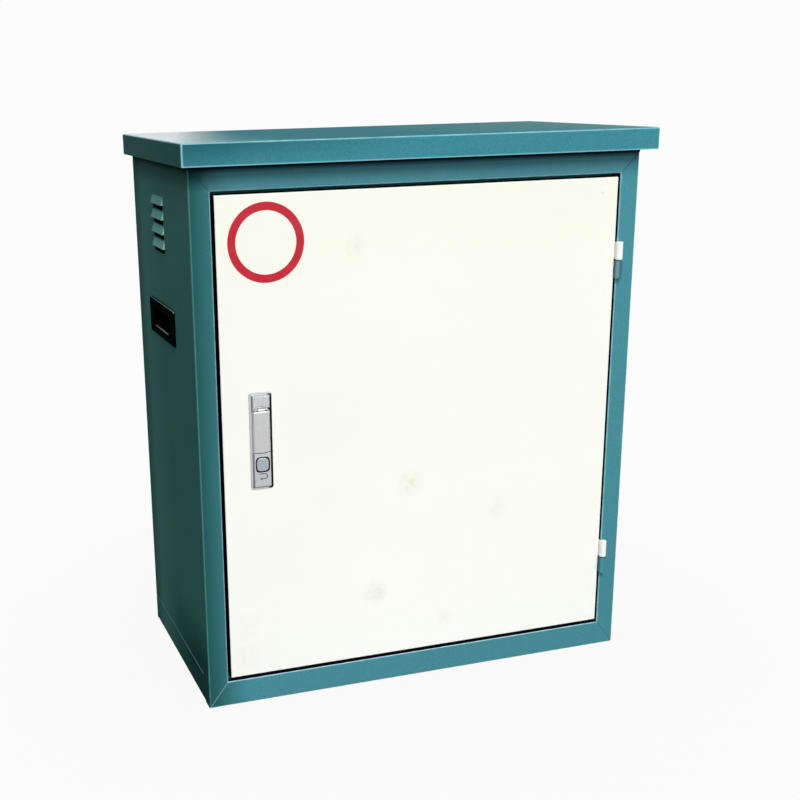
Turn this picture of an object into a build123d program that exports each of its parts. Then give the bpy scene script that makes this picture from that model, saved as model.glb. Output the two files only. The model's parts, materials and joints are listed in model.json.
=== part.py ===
from build123d import *
import os

# A roadside utility cabinet: a folded and welded sheet-steel box with a cap roof,
# one flush door on lift-off hinges, a lever lock, side louvers and side grips.
# Millimetres, +Z up, front towards -Y, origin under the middle of the roof at floor level.

# Shell
body_width = 600.0
body_depth = 320.0
shell_height = 700.0
sheet = 1.5
fold_radius = 2.5
tight_fold = 1.0
stile_width = 26.5
bottom_rail = 35.0
top_rail = 37.0
stop_flange = 14.0
back_flange = 15.0
lap_flange = 15.0
lap_setback = 30.0
pan_upstand = 38.0
pan_setback = 22.0
pan_edge = 10.0
seam_gap = 0.3
mitre_gap = 0.3
overrun = 10.0

# Roof cap and the two rails that carry it
roof_rise = 20.0
roof_lap = 7.0
roof_front_overhang = 25.0
roof_side_overhang = 12.0
roof_back_overhang = 2.0
roof_hem = 8.0
rail_end_gap = 40.0
rail_crown = 30.0
rail_foot = 14.0
rail_inset = 60.0
roof_bolt_inset = 50.0
roof_bolt_radius = 3.0
roof_bolt_head_width = 10.0
roof_bolt_head = 4.0
roof_bolt_tail = 8.0

# Pressed louvers; they and the grips sit a little behind the middle of each side
side_detail_offset = 10.0
louver_count = 4
louver_pitch = 18.3
louver_length = 62.0
louver_height = 10.5
louver_rise = 3.3
louver_slot = 6.4
louver_brow = 1.0
louver_drop = 52.5

# Recessed side grips
grip_drop = 238.0
grip_length = 142.0
grip_height = 47.0
grip_rim = 2.5
grip_rim_corner = 4.0
grip_rim_round = 1.2
grip_wall = 2.0
grip_end_margin = 25.0
grip_brow = 11.0
grip_sill = 12.0
grip_mouth_corner = 5.0
grip_reach = 28.0
grip_undercut = 4.0
grip_clearance = 0.4
grip_clip_width = 14.0
grip_clip_length = 12.0
grip_clip_barb = 2.4

# Door
gap_lock_side = 4.0
gap_hinge_side = 3.0
gap_rail = 4.0
door_fold = 1.6
door_depth = 18.0
door_lip = 15.0
stiffener_crown = 36.0
stiffener_foot = 14.0
stiffener_depth = 13.0
stiffener_margin = 60.0
seal_space = 4.0
gasket_inset = 1.5
gasket_width = 6.5
gasket_clearance = 0.3

# Hinges
hinge_upper_inset = 110.6
hinge_lower_inset = 101.7
knuckle_length = 23.5
knuckle_radius = 4.5
hinge_outset = 1.0
knuckle_edge = 0.6
knuckle_cap = 3.0
hinge_pin_radius = 3.0
hinge_pin_play = 0.05
hinge_pin_end_gap = 1.0
leaf_clearance = 1.0
leaf_depth = 14.0
washer_thickness = 0.8
axial_play = 0.1

# Lock housing
lock_inset = 49.5
lock_height = 356.5
lock_length = 124.0
lock_width = 29.0
lock_corner = 3.0
lock_flange = 1.2
lock_flange_margin = 2.4
lock_rise = 5.0
lock_taper = 1.6
lock_tray = 1.6
lock_well_end_inset = 10.0
lock_well_side_inset = 3.5
lock_well_depth = 16.0
lock_hole_clearance = 0.4

# Lock lever, its head and its spindle
spindle_drop = 30.5
spindle_radius = 5.0
spindle_play = 0.05
lever_width = 22.0
lever_taper = 1.6
lever_thickness = 3.8
lever_land = 6.1
lever_clearance = 0.4
lever_end_gap = 0.6
lever_side_gap = 1.0
lever_end_chamfer = 1.2
head_radius = 13.2
head_base = 1.6
head_gap = 0.4
lever_pivot_lift = 9.5
lever_pivot_gap = 0.4
lever_knuckle_width = 9.0
lever_pin_radius = 0.9
lever_pin_play = 0.04
square_width = 7.0
thread_radius = 3.0
cam_width = 16.0
cam_thickness = 3.0
cam_gap = 1.0
cam_shortfall = 1.5
cam_nut_width = 10.0
cam_nut_height = 5.0
thread_tail = 1.5

# Lock button
button_rise = 32.5
button_width = 15.6
button_height = 17.0
button_corner = 5.4
button_clearance = 0.8
button_proud = 0.3
button_length = 8.0
button_travel = 2.5
button_floor_gap = 0.3
button_edge = 0.6

# Lock clamp behind the door
clamp_thickness = 1.5
clamp_leg_gap = 2.0
clamp_spindle_gap = 1.0
clamp_screw_radius = 1.5
clamp_screw_head_radius = 3.0
clamp_screw_head = 2.0
clamp_screw_grip = 6.0
clamp_screw_shares = (0.15, -0.85)

# Mounting plate and its shouldered studs
plate_side_margin = 50.0
plate_end_margin = 70.0
plate_thickness = 2.0
plate_standoff = 25.0
plate_corner = 4.0
plate_hole_clearance = 0.5
stud_inset = 20.0
stud_radius = 4.0
stud_shoulder_radius = 7.0
stud_tail = 9.0
nut_width = 13.0
nut_height = 6.5
flat_washer_radius = 8.0
flat_washer = 1.6

# Cable entry
gland_setback = 120.0
gland_length = 320.0
gland_width = 110.0
gland_thickness = 2.0
gland_lap = 20.0
gland_seal = 2.0
gland_seal_clearance = 0.3
gland_screw_inset = 10.0
gland_screw_radius = 2.5
gland_screw_head_radius = 4.5
gland_screw_head = 3.0
gland_screw_tail = 1.5
gland_screw_columns = 3

# Earth stud
earth_inset = 120.0
earth_depth = 60.0
earth_radius = 4.0
earth_length = 32.0

# Anchor holes
anchor_side_inset = 60.0
anchor_end_inset = 60.0
anchor_radius = 6.5

# Places worked out from the sizes above
front_face = -(body_depth + roof_back_overhang - roof_front_overhang) / 2
side_face = body_width / 2
back_plane = body_depth - sheet
side_detail_depth = body_depth / 2 + side_detail_offset
roof_height = shell_height + roof_rise
fascia = roof_rise + roof_lap
rail_length = body_width - 2 * rail_end_gap
louver_top = shell_height - louver_drop
grip_bottom = shell_height - grip_drop
grip_mouth_length = grip_length - 2 * grip_end_margin
grip_mouth_height = grip_height - grip_brow - grip_sill
opening_half = side_face - stile_width
opening_top = shell_height - top_rail
return_depth = door_depth + seal_space
door_left = -opening_half + gap_lock_side
door_right = opening_half - gap_hinge_side
door_bottom = bottom_rail + gap_rail
door_top = opening_top - gap_rail
door_height = door_top - door_bottom
door_middle = (door_left + door_right) / 2
hinge_upper = opening_top - hinge_upper_inset
hinge_lower = bottom_rail + hinge_lower_inset
hinge_x = opening_half + hinge_outset
hinge_depth = -knuckle_radius
leaf_thickness = gap_hinge_side - leaf_clearance
lock_x = door_left + lock_inset
lock_block_length = lock_length - 2 * lock_flange_margin
lock_block_width = lock_width - 2 * lock_flange_margin
lock_well_length = lock_length - 2 * lock_well_end_inset
lock_well_width = lock_width - 2 * lock_well_side_inset
spindle_z = lock_height + lock_length / 2 - spindle_drop
button_z = lock_height - lock_length / 2 + button_rise
lever_reach = spindle_z - button_z - button_height / 2 - lever_land
lever_back = lock_tray + lever_clearance
lever_front = lever_back + lever_thickness
lever_pivot_z = spindle_z + lever_pivot_lift
lever_skirt = lever_back + head_base + lever_clearance
lever_pivot_rise = lever_back + lever_thickness / 2
cam_front = return_depth + sheet + cam_gap
cam_back = cam_front + cam_thickness
clamp_screw_heights = [lock_height + share * lock_well_length / 2 for share in clamp_screw_shares]
plate_width = body_width - 2 * plate_side_margin
plate_height = shell_height - 2 * plate_end_margin
gland_depth = body_depth - gland_setback
gland_opening_length = gland_length - 2 * gland_lap
gland_opening_width = gland_width - 2 * gland_lap
anchor_spacing_x = body_width - 2 * anchor_side_inset
anchor_spacing_y = body_depth - 2 * anchor_end_inset


def at_depth(depth):
    """Y of a place measured back from the front face."""
    return front_face + depth


def block(x_range, depth_range, z_range):
    """A box between pairs of places: across, back from the front face, and up."""
    size = [abs(pair[1] - pair[0]) for pair in (x_range, depth_range, z_range)]
    middle = [(pair[0] + pair[1]) / 2 for pair in (x_range, depth_range, z_range)]
    return Pos(middle[0], at_depth(middle[1]), middle[2]) * Box(*size)


def post(radius, bottom, top, x, depth):
    """An upright round bar."""
    bar = Cylinder(radius, top - bottom, align=(Align.CENTER, Align.CENTER, Align.MIN))
    return Pos(x, at_depth(depth), bottom) * bar


def bar_back(radius, front_depth, back_depth, x, z):
    """A round bar that runs back from the front."""
    bar = Cylinder(radius, back_depth - front_depth, align=(Align.CENTER, Align.CENTER, Align.MIN))
    return Pos(x, at_depth(front_depth), z) * Rot(-90, 0, 0) * bar


def hex_back(width, front_depth, back_depth, x, z):
    """A hexagonal bar that runs back from the front."""
    outline = RegularPolygon(width / 2, 6, major_radius=False)
    bar = extrude(outline, back_depth - front_depth)
    return Pos(x, at_depth(front_depth), z) * Rot(-90, 0, 0) * bar


def folded_band(points, radii, side):
    """The section of a folded sheet, from the path of one skin and its fold radii."""
    skin = FilletPolyline(*points, radius=radii)
    return make_face(offset(skin, amount=sheet, kind=Kind.ARC, side=side).edges())


def section_across(face, half_width):
    """A depth-and-height section run across the cabinet."""
    return Plane.YZ * extrude(face, half_width, both=True)


def mitre_prism(inner, outer, beyond_up, depth_range):
    """What lies beyond the mitre line of a left frame corner, as a prism along the depth."""
    run = (inner[0] - outer[0], inner[1] - outer[1])
    length = (run[0] ** 2 + run[1] ** 2) ** 0.5
    normal = (-run[1] / length, run[0] / length)
    if (normal[1] > 0) != beyond_up:
        normal = (-normal[0], -normal[1])
    reach = stile_width + stop_flange + overrun
    shift = (-normal[0] * mitre_gap / 2, -normal[1] * mitre_gap / 2)
    low = (outer[0] - run[0] + shift[0], outer[1] - run[1] + shift[1])
    high = (inner[0] + run[0] + shift[0], inner[1] + run[1] + shift[1])
    far_high = (high[0] + normal[0] * reach, high[1] + normal[1] * reach)
    far_low = (low[0] + normal[0] * reach, low[1] + normal[1] * reach)
    outline = make_face(Polyline(low, high, far_high, far_low, close=True))
    prism = extrude(outline, depth_range[1] - depth_range[0])
    return Pos(0, at_depth(depth_range[1]), 0) * Rot(90, 0, 0) * prism


def both_sides(shape):
    """A left-hand shape with its right-hand twin."""
    return shape + mirror(shape, Plane.YZ)


# Corners of the left stile's two mitres, as across-and-up places
lower_inner = (-opening_half, bottom_rail)
lower_outer = (-side_face, 0)
upper_inner = (-opening_half, opening_top)
upper_outer = (-side_face, opening_top + stile_width)
frame_depth = return_depth + sheet + seam_gap


def louver_prism(points, length, z_top):
    """A section of the left side, as steps in from its skin and up, run along the depth."""
    section = make_face(Polyline(*points, close=True))
    run = Plane.XZ * extrude(section, length / 2, both=True)
    return Pos(-side_face, at_depth(side_detail_depth), z_top) * run


def louver_hood(z_top):
    """A pressed hood with a sloping face and closed ends."""
    points = [(0, 0), (-louver_rise, -louver_height), (sheet, -louver_height), (sheet, 0)]
    return louver_prism(points, louver_length, z_top)


def louver_hollow(z_top):
    """The inside of a hood and the open slot below its lip."""
    slope = louver_rise / louver_height
    skin = sheet * (1 + slope**2) ** 0.5
    inside = sheet + overrun
    slot_bottom = -louver_height - louver_slot
    points = [
        (inside, -louver_brow),
        (skin - slope * louver_brow, -louver_brow),
        (skin - louver_rise, -louver_height),
        (skin - louver_rise, slot_bottom),
        (inside, slot_bottom),
    ]
    return louver_prism(points, louver_length - 2 * sheet, z_top)


def grip_well(growth):
    """The block of space behind a left grip's rim, grown on all sides."""
    half = grip_mouth_length / 2 + grip_wall + growth
    low = grip_bottom + grip_sill - grip_wall - growth
    high = grip_bottom + grip_sill + grip_mouth_height + grip_undercut + grip_wall + growth
    inner = -side_face + grip_reach
    return block((-side_face, inner), (side_detail_depth - half, side_detail_depth + half), (low, high))


def side_panel():
    """The left side: web, mitred front stile, return, door stop and rear flange in one fold."""
    left = -side_face
    points = [
        (left + back_flange, at_depth(back_plane)),
        (left, at_depth(back_plane)),
        (left, at_depth(0)),
        (left + stile_width, at_depth(0)),
        (left + stile_width, at_depth(return_depth)),
        (left + stile_width + stop_flange, at_depth(return_depth)),
    ]
    radii = [fold_radius, fold_radius, fold_radius, tight_fold]
    panel = extrude(folded_band(points, radii, Side.LEFT), shell_height - sheet)
    panel -= block((left - overrun, left + stile_width), (pan_setback, body_depth), (0, pan_upstand + seam_gap))
    inner_cut = block((left + sheet + seam_gap, 0), (0, frame_depth), (0, shell_height))
    front_cut = block((left - overrun, 0), (-overrun, fold_radius), (-overrun, shell_height))
    mitres = mitre_prism(lower_inner, lower_outer, False, (-overrun, frame_depth))
    mitres += mitre_prism(upper_inner, upper_outer, True, (-overrun, frame_depth))
    panel -= mitres & inner_cut
    panel -= mitres & front_cut
    for index in range(louver_count):
        z_top = louver_top - index * louver_pitch
        panel += louver_hood(z_top)
        panel -= louver_hollow(z_top)
    panel -= grip_well(grip_clearance)
    return panel


def bottom_pan():
    """Floor, mitred front rail, door stop, rear upstand and side upstands in one pan."""
    points = [
        (at_depth(back_plane), pan_upstand),
        (at_depth(back_plane), 0),
        (at_depth(0), 0),
        (at_depth(0), bottom_rail),
        (at_depth(return_depth), bottom_rail),
        (at_depth(return_depth), bottom_rail + stop_flange),
    ]
    radii = [fold_radius, fold_radius, fold_radius, tight_fold]
    pan = section_across(folded_band(points, radii, Side.RIGHT), side_face)
    frame_zone = block((-side_face, 0), (-overrun, frame_depth), (sheet + seam_gap, shell_height))
    front_zone = block((-side_face, 0), (-overrun, fold_radius), (-overrun, shell_height))
    mitre = mitre_prism(lower_inner, lower_outer, True, (-overrun, frame_depth))
    mitre = (mitre & frame_zone) + (mitre & front_zone)
    strip = block((-side_face, -side_face + sheet), (fold_radius, pan_setback), (0, pan_upstand))
    pan -= both_sides(mitre + strip)
    edge = block((-side_face, -side_face + pan_edge), (pan_setback, body_depth), (0, pan_upstand))
    pan -= both_sides(edge)
    pan += both_sides(pan_side())
    for x in (-anchor_spacing_x / 2, anchor_spacing_x / 2):
        for depth in anchor_depths():
            pan -= post(anchor_radius, -overrun, overrun, x, depth)
    pan -= gland_hole(gland_opening_length, gland_opening_width, -overrun, overrun)
    for x, depth in gland_screw_places():
        pan -= post(gland_screw_radius, -overrun, overrun, x, depth)
    return pan


def pan_side():
    """The left upstand of the pan with the strip of floor that it is folded from."""
    points = [
        (-side_face, pan_upstand),
        (-side_face, 0),
        (-side_face + pan_edge, 0),
    ]
    angle = extrude(folded_band(points, [fold_radius], Side.LEFT), back_plane - pan_setback - seam_gap)
    return Pos(0, at_depth(back_plane), 0) * Rot(90, 0, 0) * angle


def anchor_depths():
    """How far back the two rows of anchor holes lie."""
    middle = body_depth / 2
    return (middle - anchor_spacing_y / 2, middle + anchor_spacing_y / 2)


def gland_hole(length, width, bottom, top):
    """A block over the cable entry."""
    depths = (gland_depth - width / 2, gland_depth + width / 2)
    return block((-length / 2, length / 2), depths, (bottom, top))


def gland_screw_places():
    """Across-and-back places of the cable entry's screws."""
    half_length = gland_length / 2 - gland_screw_inset
    half_width = gland_width / 2 - gland_screw_inset
    step = 2 * half_length / (gland_screw_columns - 1)
    columns = [-half_length + column * step for column in range(gland_screw_columns)]
    return [(x, gland_depth + row) for row in (-half_width, half_width) for x in columns]


def top_panel():
    """Top sheet, mitred front rail, door stop, rear flange and inner side flanges."""
    points = [
        (at_depth(back_plane), shell_height - lap_flange),
        (at_depth(back_plane), shell_height),
        (at_depth(0), shell_height),
        (at_depth(0), opening_top),
        (at_depth(return_depth), opening_top),
        (at_depth(return_depth), opening_top - stop_flange),
    ]
    radii = [fold_radius, fold_radius, fold_radius, tight_fold]
    top = section_across(folded_band(points, radii, Side.LEFT), side_face)
    under_sheet = (-overrun, shell_height - sheet - seam_gap)
    frame_zone = block((-side_face, 0), (-overrun, frame_depth), under_sheet)
    mitre = mitre_prism(upper_inner, upper_outer, False, (-overrun, frame_depth)) & frame_zone
    depths = (fold_radius, body_depth)
    web_zone = block((-side_face, -side_face + sheet), depths, (opening_top - stop_flange, shell_height - sheet))
    corner = block(
        (-side_face, -side_face + back_flange),
        (back_plane - 2 * sheet, back_plane),
        (opening_top, shell_height - sheet),
    )
    flange = block(
        (-side_face + sheet, -side_face + 2 * sheet),
        (lap_setback, back_plane - lap_setback),
        (shell_height - lap_flange, shell_height - sheet),
    )
    top -= both_sides(mitre + web_zone + corner)
    top += both_sides(flange)
    for x, depth in roof_bolt_places():
        top -= post(roof_bolt_radius, shell_height - overrun, roof_height, x, depth)
    return top


def back_panel():
    """Flat rear sheet over the flanges of the shell."""
    return block((-side_face, side_face), (back_plane, body_depth), (0, shell_height))


def roof_cap():
    """Cap with a folded fascia all round and a hem turned in under it."""
    left = side_face + roof_side_overhang
    depths = (-roof_front_overhang, body_depth + roof_back_overhang)
    low = roof_height - fascia
    cap = block((-left, left), depths, (low, roof_height))
    upright = cap.edges().filter_by(Axis.Z)
    cap = fillet(upright, fold_radius)
    crown = cap.faces().sort_by(Axis.Z)[-1]
    cap = fillet(crown.edges(), fold_radius)
    inner_depths = (depths[0] + sheet, depths[1] - sheet)
    cap -= block((-left + sheet, left - sheet), inner_depths, (low + sheet, roof_height - sheet))
    hem_depths = (depths[0] + roof_hem, depths[1] - sheet)
    cap -= block((-left + roof_hem, left - roof_hem), hem_depths, (low - overrun, low + 2 * sheet))
    return cap


def roof_rail_depths():
    """How far back the middles of the two roof rails lie."""
    return (rail_inset, body_depth - rail_inset)


def roof_bolt_places():
    """Across-and-back places of the bolts through the outer feet of the roof rails."""
    front_row, back_row = roof_rail_depths()
    foot_middle = rail_crown / 2 + rail_foot / 2
    rows = (front_row - foot_middle, back_row + foot_middle)
    reach = rail_length / 2 - roof_bolt_inset
    return [(x, depth) for x in (-reach, reach) for depth in rows]


def roof_rail(depth):
    """One hat-section rail between the top sheet and the roof cap, with its weld nuts."""
    half = rail_crown / 2
    top = roof_height - sheet
    foot = shell_height + sheet
    points = [
        (at_depth(depth - half - rail_foot), foot),
        (at_depth(depth - half), foot),
        (at_depth(depth - half), top),
        (at_depth(depth + half), top),
        (at_depth(depth + half), foot),
        (at_depth(depth + half + rail_foot), foot),
    ]
    radii = [tight_fold, fold_radius, fold_radius, tight_fold]
    rail = section_across(folded_band(points, radii, Side.RIGHT), rail_length / 2)
    for x, bolt_depth in roof_bolt_places():
        if abs(bolt_depth - depth) < half + rail_foot:
            rail += hex_up(roof_bolt_head_width, foot, shell_height + roof_bolt_tail, x, bolt_depth)
            rail -= post(roof_bolt_radius, shell_height, roof_height, x, bolt_depth)
    return rail


def roof_rails():
    """The two rails that carry the roof cap."""
    return Compound(children=[roof_rail(depth) for depth in roof_rail_depths()])


def hex_up(width, bottom, top, x, depth):
    """An upright hexagonal bar."""
    bar = extrude(RegularPolygon(width / 2, 6, major_radius=False), top - bottom)
    return Pos(x, at_depth(depth), bottom) * bar


def roof_bolts():
    """Hexagon bolts from inside the shell up into the roof rails."""
    under = shell_height - sheet
    bolts = []
    for x, depth in roof_bolt_places():
        head = hex_up(roof_bolt_head_width, under - roof_bolt_head, under, x, depth)
        bolts.append(head + post(roof_bolt_radius, under, shell_height + roof_bolt_tail, x, depth))
    return Compound(children=bolts)


def side_grip():
    """A moulded grip for the left side: rim, undercut finger well and two barbed clips."""
    half = grip_length / 2
    high = grip_bottom + grip_height
    rim = block((-side_face - grip_rim, -side_face), (side_detail_depth - half, side_detail_depth + half), (grip_bottom, high))
    rim = fillet(rim.edges().filter_by(Axis.X), grip_rim_corner)
    rim = fillet(rim.faces().sort_by(Axis.X)[0].edges(), grip_rim_round)
    grip = rim + grip_well(0)
    mouth_half = grip_mouth_length / 2
    low = grip_bottom + grip_sill
    mouth_depths = (side_detail_depth - mouth_half, side_detail_depth + mouth_half)
    inner = -side_face + grip_reach - grip_wall
    mouth = block((-side_face - grip_rim - overrun, inner), mouth_depths, (low, low + grip_mouth_height))
    mouth = fillet(mouth.edges().filter_by(Axis.X), grip_mouth_corner)
    roof = low + grip_mouth_height + grip_undercut
    pocket = block((-side_face + grip_wall, inner), mouth_depths, (low + grip_mouth_corner, roof))
    pocket = fillet(pocket.edges().filter_by(Axis.X).group_by(Axis.Z)[-1], grip_mouth_corner)
    grip -= mouth + pocket
    middle = low + grip_mouth_height / 2
    for sign in (-1, 1):
        grip += grip_clip(sign, middle)
    return grip


def grip_clip(sign, middle):
    """A barb on an end wall of the grip that holds behind the web."""
    foot = side_detail_depth + sign * (grip_mouth_length / 2 + grip_wall)
    tip = foot + sign * (grip_clip_barb + grip_clearance)
    catch = -side_face + sheet
    points = [
        (catch, at_depth(foot)),
        (catch, at_depth(tip)),
        (catch + grip_clip_length, at_depth(foot)),
    ]
    barb = extrude(make_face(Polyline(*points, close=True)), grip_clip_width)
    return Pos(0, 0, middle - grip_clip_width / 2) * barb


def door_panel():
    """The door: a folded pan with turned-in rear lips and the lock's cut-out."""
    pan = block((door_left, door_right), (0, door_depth), (door_bottom, door_top))
    pan = fillet(pan.edges().filter_by(Axis.Y), door_fold)
    pan = fillet(pan.faces().sort_by(Axis.Y)[0].edges(), door_fold)
    inner_x = (door_left + sheet, door_right - sheet)
    inner_z = (door_bottom + sheet, door_top - sheet)
    pan -= block(inner_x, (sheet, door_depth - sheet), inner_z)
    lip_x = (door_left + door_lip, door_right - door_lip)
    lip_z = (door_bottom + door_lip, door_top - door_lip)
    pan -= block(lip_x, (sheet, door_depth + overrun), lip_z)
    pan -= lock_well(lock_hole_clearance, -overrun, door_depth)
    return pan


def door_stiffener():
    """An upright hat section on the inside of the door."""
    half = stiffener_crown / 2
    foot = sheet + sheet
    points = [
        (door_middle - half - stiffener_foot, at_depth(foot)),
        (door_middle - half, at_depth(foot)),
        (door_middle - half, at_depth(stiffener_depth)),
        (door_middle + half, at_depth(stiffener_depth)),
        (door_middle + half, at_depth(foot)),
        (door_middle + half + stiffener_foot, at_depth(foot)),
    ]
    radii = [tight_fold, fold_radius, fold_radius, tight_fold]
    hat = extrude(folded_band(points, radii, Side.RIGHT), door_height - 2 * stiffener_margin)
    return Pos(0, 0, door_bottom + stiffener_margin) * hat


def door_gasket():
    """Foamed seal between the door's rear lips and the frame's stops."""
    depths = (door_depth + gasket_clearance, return_depth - gasket_clearance)
    ring = gasket_block(gasket_inset, depths)
    return ring - gasket_block(gasket_inset + gasket_width, (depths[0] - overrun, depths[1] + overrun))


def gasket_block(inset, depths):
    """A block set in from the door's outline."""
    return block((door_left + inset, door_right - inset), depths, (door_bottom + inset, door_top - inset))


def knuckle(bottom, top):
    """A hinge barrel with eased ends."""
    barrel = post(knuckle_radius, bottom, top, hinge_x, hinge_depth)
    return chamfer(barrel.edges().filter_by(GeomType.CIRCLE), knuckle_edge)


def frame_knuckle(level):
    """The fixed half of a hinge, with its leaf against the stile's return."""
    top = level - axial_play - washer_thickness
    bottom = top - knuckle_length
    half = knuckle(bottom, top)
    leaf_x = (opening_half - leaf_thickness, opening_half)
    half += block(leaf_x, (hinge_depth, leaf_depth), (bottom + knuckle_edge, top - knuckle_edge))
    return half - post(hinge_pin_radius, bottom - overrun, top + overrun, hinge_x, hinge_depth)


def door_knuckle(level):
    """The lift-off half of a hinge, with its leaf against the door's edge."""
    top = level + knuckle_length
    half = knuckle(level, top)
    leaf_x = (door_right, door_right + leaf_thickness)
    half += block(leaf_x, (hinge_depth, leaf_depth), (level + knuckle_edge, top - knuckle_edge))
    bore = hinge_pin_radius + hinge_pin_play
    return half - post(bore, level - overrun, top - knuckle_cap, hinge_x, hinge_depth)


def hinge_pin(level):
    """The pin fixed in the lower knuckle."""
    bottom = level - axial_play - washer_thickness - knuckle_length
    top = level + knuckle_length - knuckle_cap - hinge_pin_end_gap
    pin = post(hinge_pin_radius, bottom, top, hinge_x, hinge_depth)
    return chamfer(pin.edges().group_by(Axis.Z)[-1], knuckle_edge)


def hinge_washer(level):
    """The bearing ring between the two knuckles."""
    bottom = level - axial_play - washer_thickness
    ring = post(knuckle_radius, bottom, level - axial_play, hinge_x, hinge_depth)
    bore = hinge_pin_radius + hinge_pin_play
    return ring - post(bore, bottom - overrun, level + overrun, hinge_x, hinge_depth)


def lock_well(growth, front_depth, back_depth):
    """The lock's body behind the door skin, grown sideways."""
    half_width = lock_well_width / 2 + growth
    half_length = lock_well_length / 2 + growth
    heights = (lock_height - half_length, lock_height + half_length)
    return block((lock_x - half_width, lock_x + half_width), (front_depth, back_depth), heights)


def lock_block():
    """The raised face of the lock, with sloping sides."""
    foot = Rectangle(lock_block_width, lock_block_length)
    crown = Rectangle(lock_block_width - 2 * lock_taper, lock_block_length - 2 * lock_taper)
    face = loft([Pos(0, 0, lock_flange) * foot, Pos(0, 0, lock_rise) * crown])
    return Pos(lock_x, at_depth(0), lock_height) * Rot(90, 0, 0) * face


def lock_housing():
    """Flange, raised end blocks, lever tray and rear well of the lock in one casting."""
    half_width = lock_width / 2
    half_length = lock_length / 2
    heights = (lock_height - half_length, lock_height + half_length)
    flange = block((lock_x - half_width, lock_x + half_width), (-lock_flange, 0), heights)
    flange = fillet(flange.edges().filter_by(Axis.Y), lock_corner)
    lever_top = spindle_z + lever_width / 2 + lever_side_gap
    above_tray = (-lock_rise - overrun, -lock_tray)
    tray_zone = block((lock_x, lock_x + lock_width), above_tray, (spindle_z - lever_width, lever_top))
    tray_zone += block((lock_x - lock_width, lock_x), above_tray, (spindle_z - lever_width, spindle_z))
    tray_zone += bar_back(head_radius + head_gap, *above_tray, lock_x, spindle_z)
    sweep = bar_back(lever_reach + lever_end_gap, *above_tray, lock_x, spindle_z)
    below = block(
        (lock_x - lock_width, lock_x + lock_width),
        (-lock_rise - overrun, 0),
        (lock_height - lock_length, spindle_z),
    )
    housing = flange + (lock_block() - tray_zone - (sweep & below))
    housing += lock_well(0, 0, lock_well_depth)
    bore = spindle_radius + spindle_play
    housing -= bar_back(bore, -overrun, lock_well_depth + overrun, lock_x, spindle_z)
    floor = button_length - lock_rise - button_proud + button_travel + button_floor_gap
    housing -= button_bar(button_clearance, -lock_rise - overrun, floor)
    for z in clamp_screw_heights:
        deepest = lock_well_depth - clamp_screw_grip
        housing -= bar_back(clamp_screw_radius, deepest, lock_well_depth + overrun, lock_x, z)
    return housing


def lever_outline_block(bottom, top, rise_from, rise_to):
    """A block of the lever's width between two heights and two levels above the door."""
    half = lever_width / 2
    return block((lock_x - half, lock_x + half), (-rise_to, -rise_from), (bottom, top))


def sloped_sides(shape):
    """Ease the two long front edges of a lever-wide shape."""
    front = shape.faces().sort_by(Axis.Y)[0]
    return chamfer(front.edges().filter_by(Axis.Z), lever_thickness / 2, lever_taper)


def lock_spindle():
    """Round-topped lever head, hinge ears, shaft, square and thread in one turning piece."""
    ear_radius = lever_thickness / 2
    round_top = bar_back(head_radius, -lever_front, -lever_back, lock_x, spindle_z)
    head = lever_outline_block(lever_pivot_z, spindle_z + head_radius, lever_back, lever_front) & round_top
    head += lever_barrel(lever_width, ear_radius) & round_top
    reach = (spindle_z - head_radius, spindle_z + head_radius)
    head += lever_outline_block(*reach, lever_back, lever_back + head_base) & round_top
    slot = lever_knuckle_width / 2 + lever_pivot_gap
    swing = ear_radius + lever_pivot_gap
    head -= block(
        (lock_x - slot, lock_x + slot),
        (-lever_front - overrun, -lever_back + overrun),
        (lever_pivot_z - swing, lever_pivot_z + swing),
    )
    head -= lever_barrel(lever_width + overrun, lever_pin_radius)
    shaft = bar_back(spindle_radius, -lever_back, cam_front, lock_x, spindle_z)
    half = square_width / 2
    heights = (spindle_z - half, spindle_z + half)
    square = block((lock_x - half, lock_x + half), (cam_front, cam_back), heights)
    tail = bar_back(thread_radius, cam_back, cam_back + cam_nut_height + thread_tail, lock_x, spindle_z)
    return head + shaft + square + tail


def lever_barrel(length, radius):
    """A round bar across the lock on the lever's lifting axis."""
    bar = Rot(0, 90, 0) * Cylinder(radius, length)
    return Pos(lock_x, at_depth(-lever_pivot_rise), lever_pivot_z) * bar


def lever_pin():
    """The pin that the lever lifts on."""
    pin = lever_barrel(lever_width, lever_pin_radius)
    return pin & bar_back(head_radius, -lever_front, -lever_back, lock_x, spindle_z)


def lock_lever():
    """The lifting lever: a plate over the head with a centre knuckle, thick and round-ended below."""
    ear_radius = lever_thickness / 2
    top = lever_pivot_z - ear_radius - lever_pivot_gap
    grip = lever_outline_block(spindle_z - lever_reach - lever_width, top, lever_back, lever_front)
    grip = sloped_sides(grip)
    grip &= bar_back(lever_reach, -lever_front - overrun, overrun, lock_x, spindle_z)
    lower_end = grip.faces().sort_by(Axis.Y)[0].edges().sort_by(Axis.Z)[0]
    grip = chamfer(lower_end, lever_end_chamfer)
    grip -= bar_back(head_radius + head_gap, -lever_skirt, overrun, lock_x, spindle_z)
    half = lever_knuckle_width / 2
    tongue = block((lock_x - half, lock_x + half), (-lever_front, -lever_skirt), (top - half, lever_pivot_z))
    grip += tongue + lever_barrel(lever_knuckle_width, ear_radius)
    return grip - lever_barrel(lever_width + overrun, lever_pin_radius + lever_pin_play)


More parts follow.
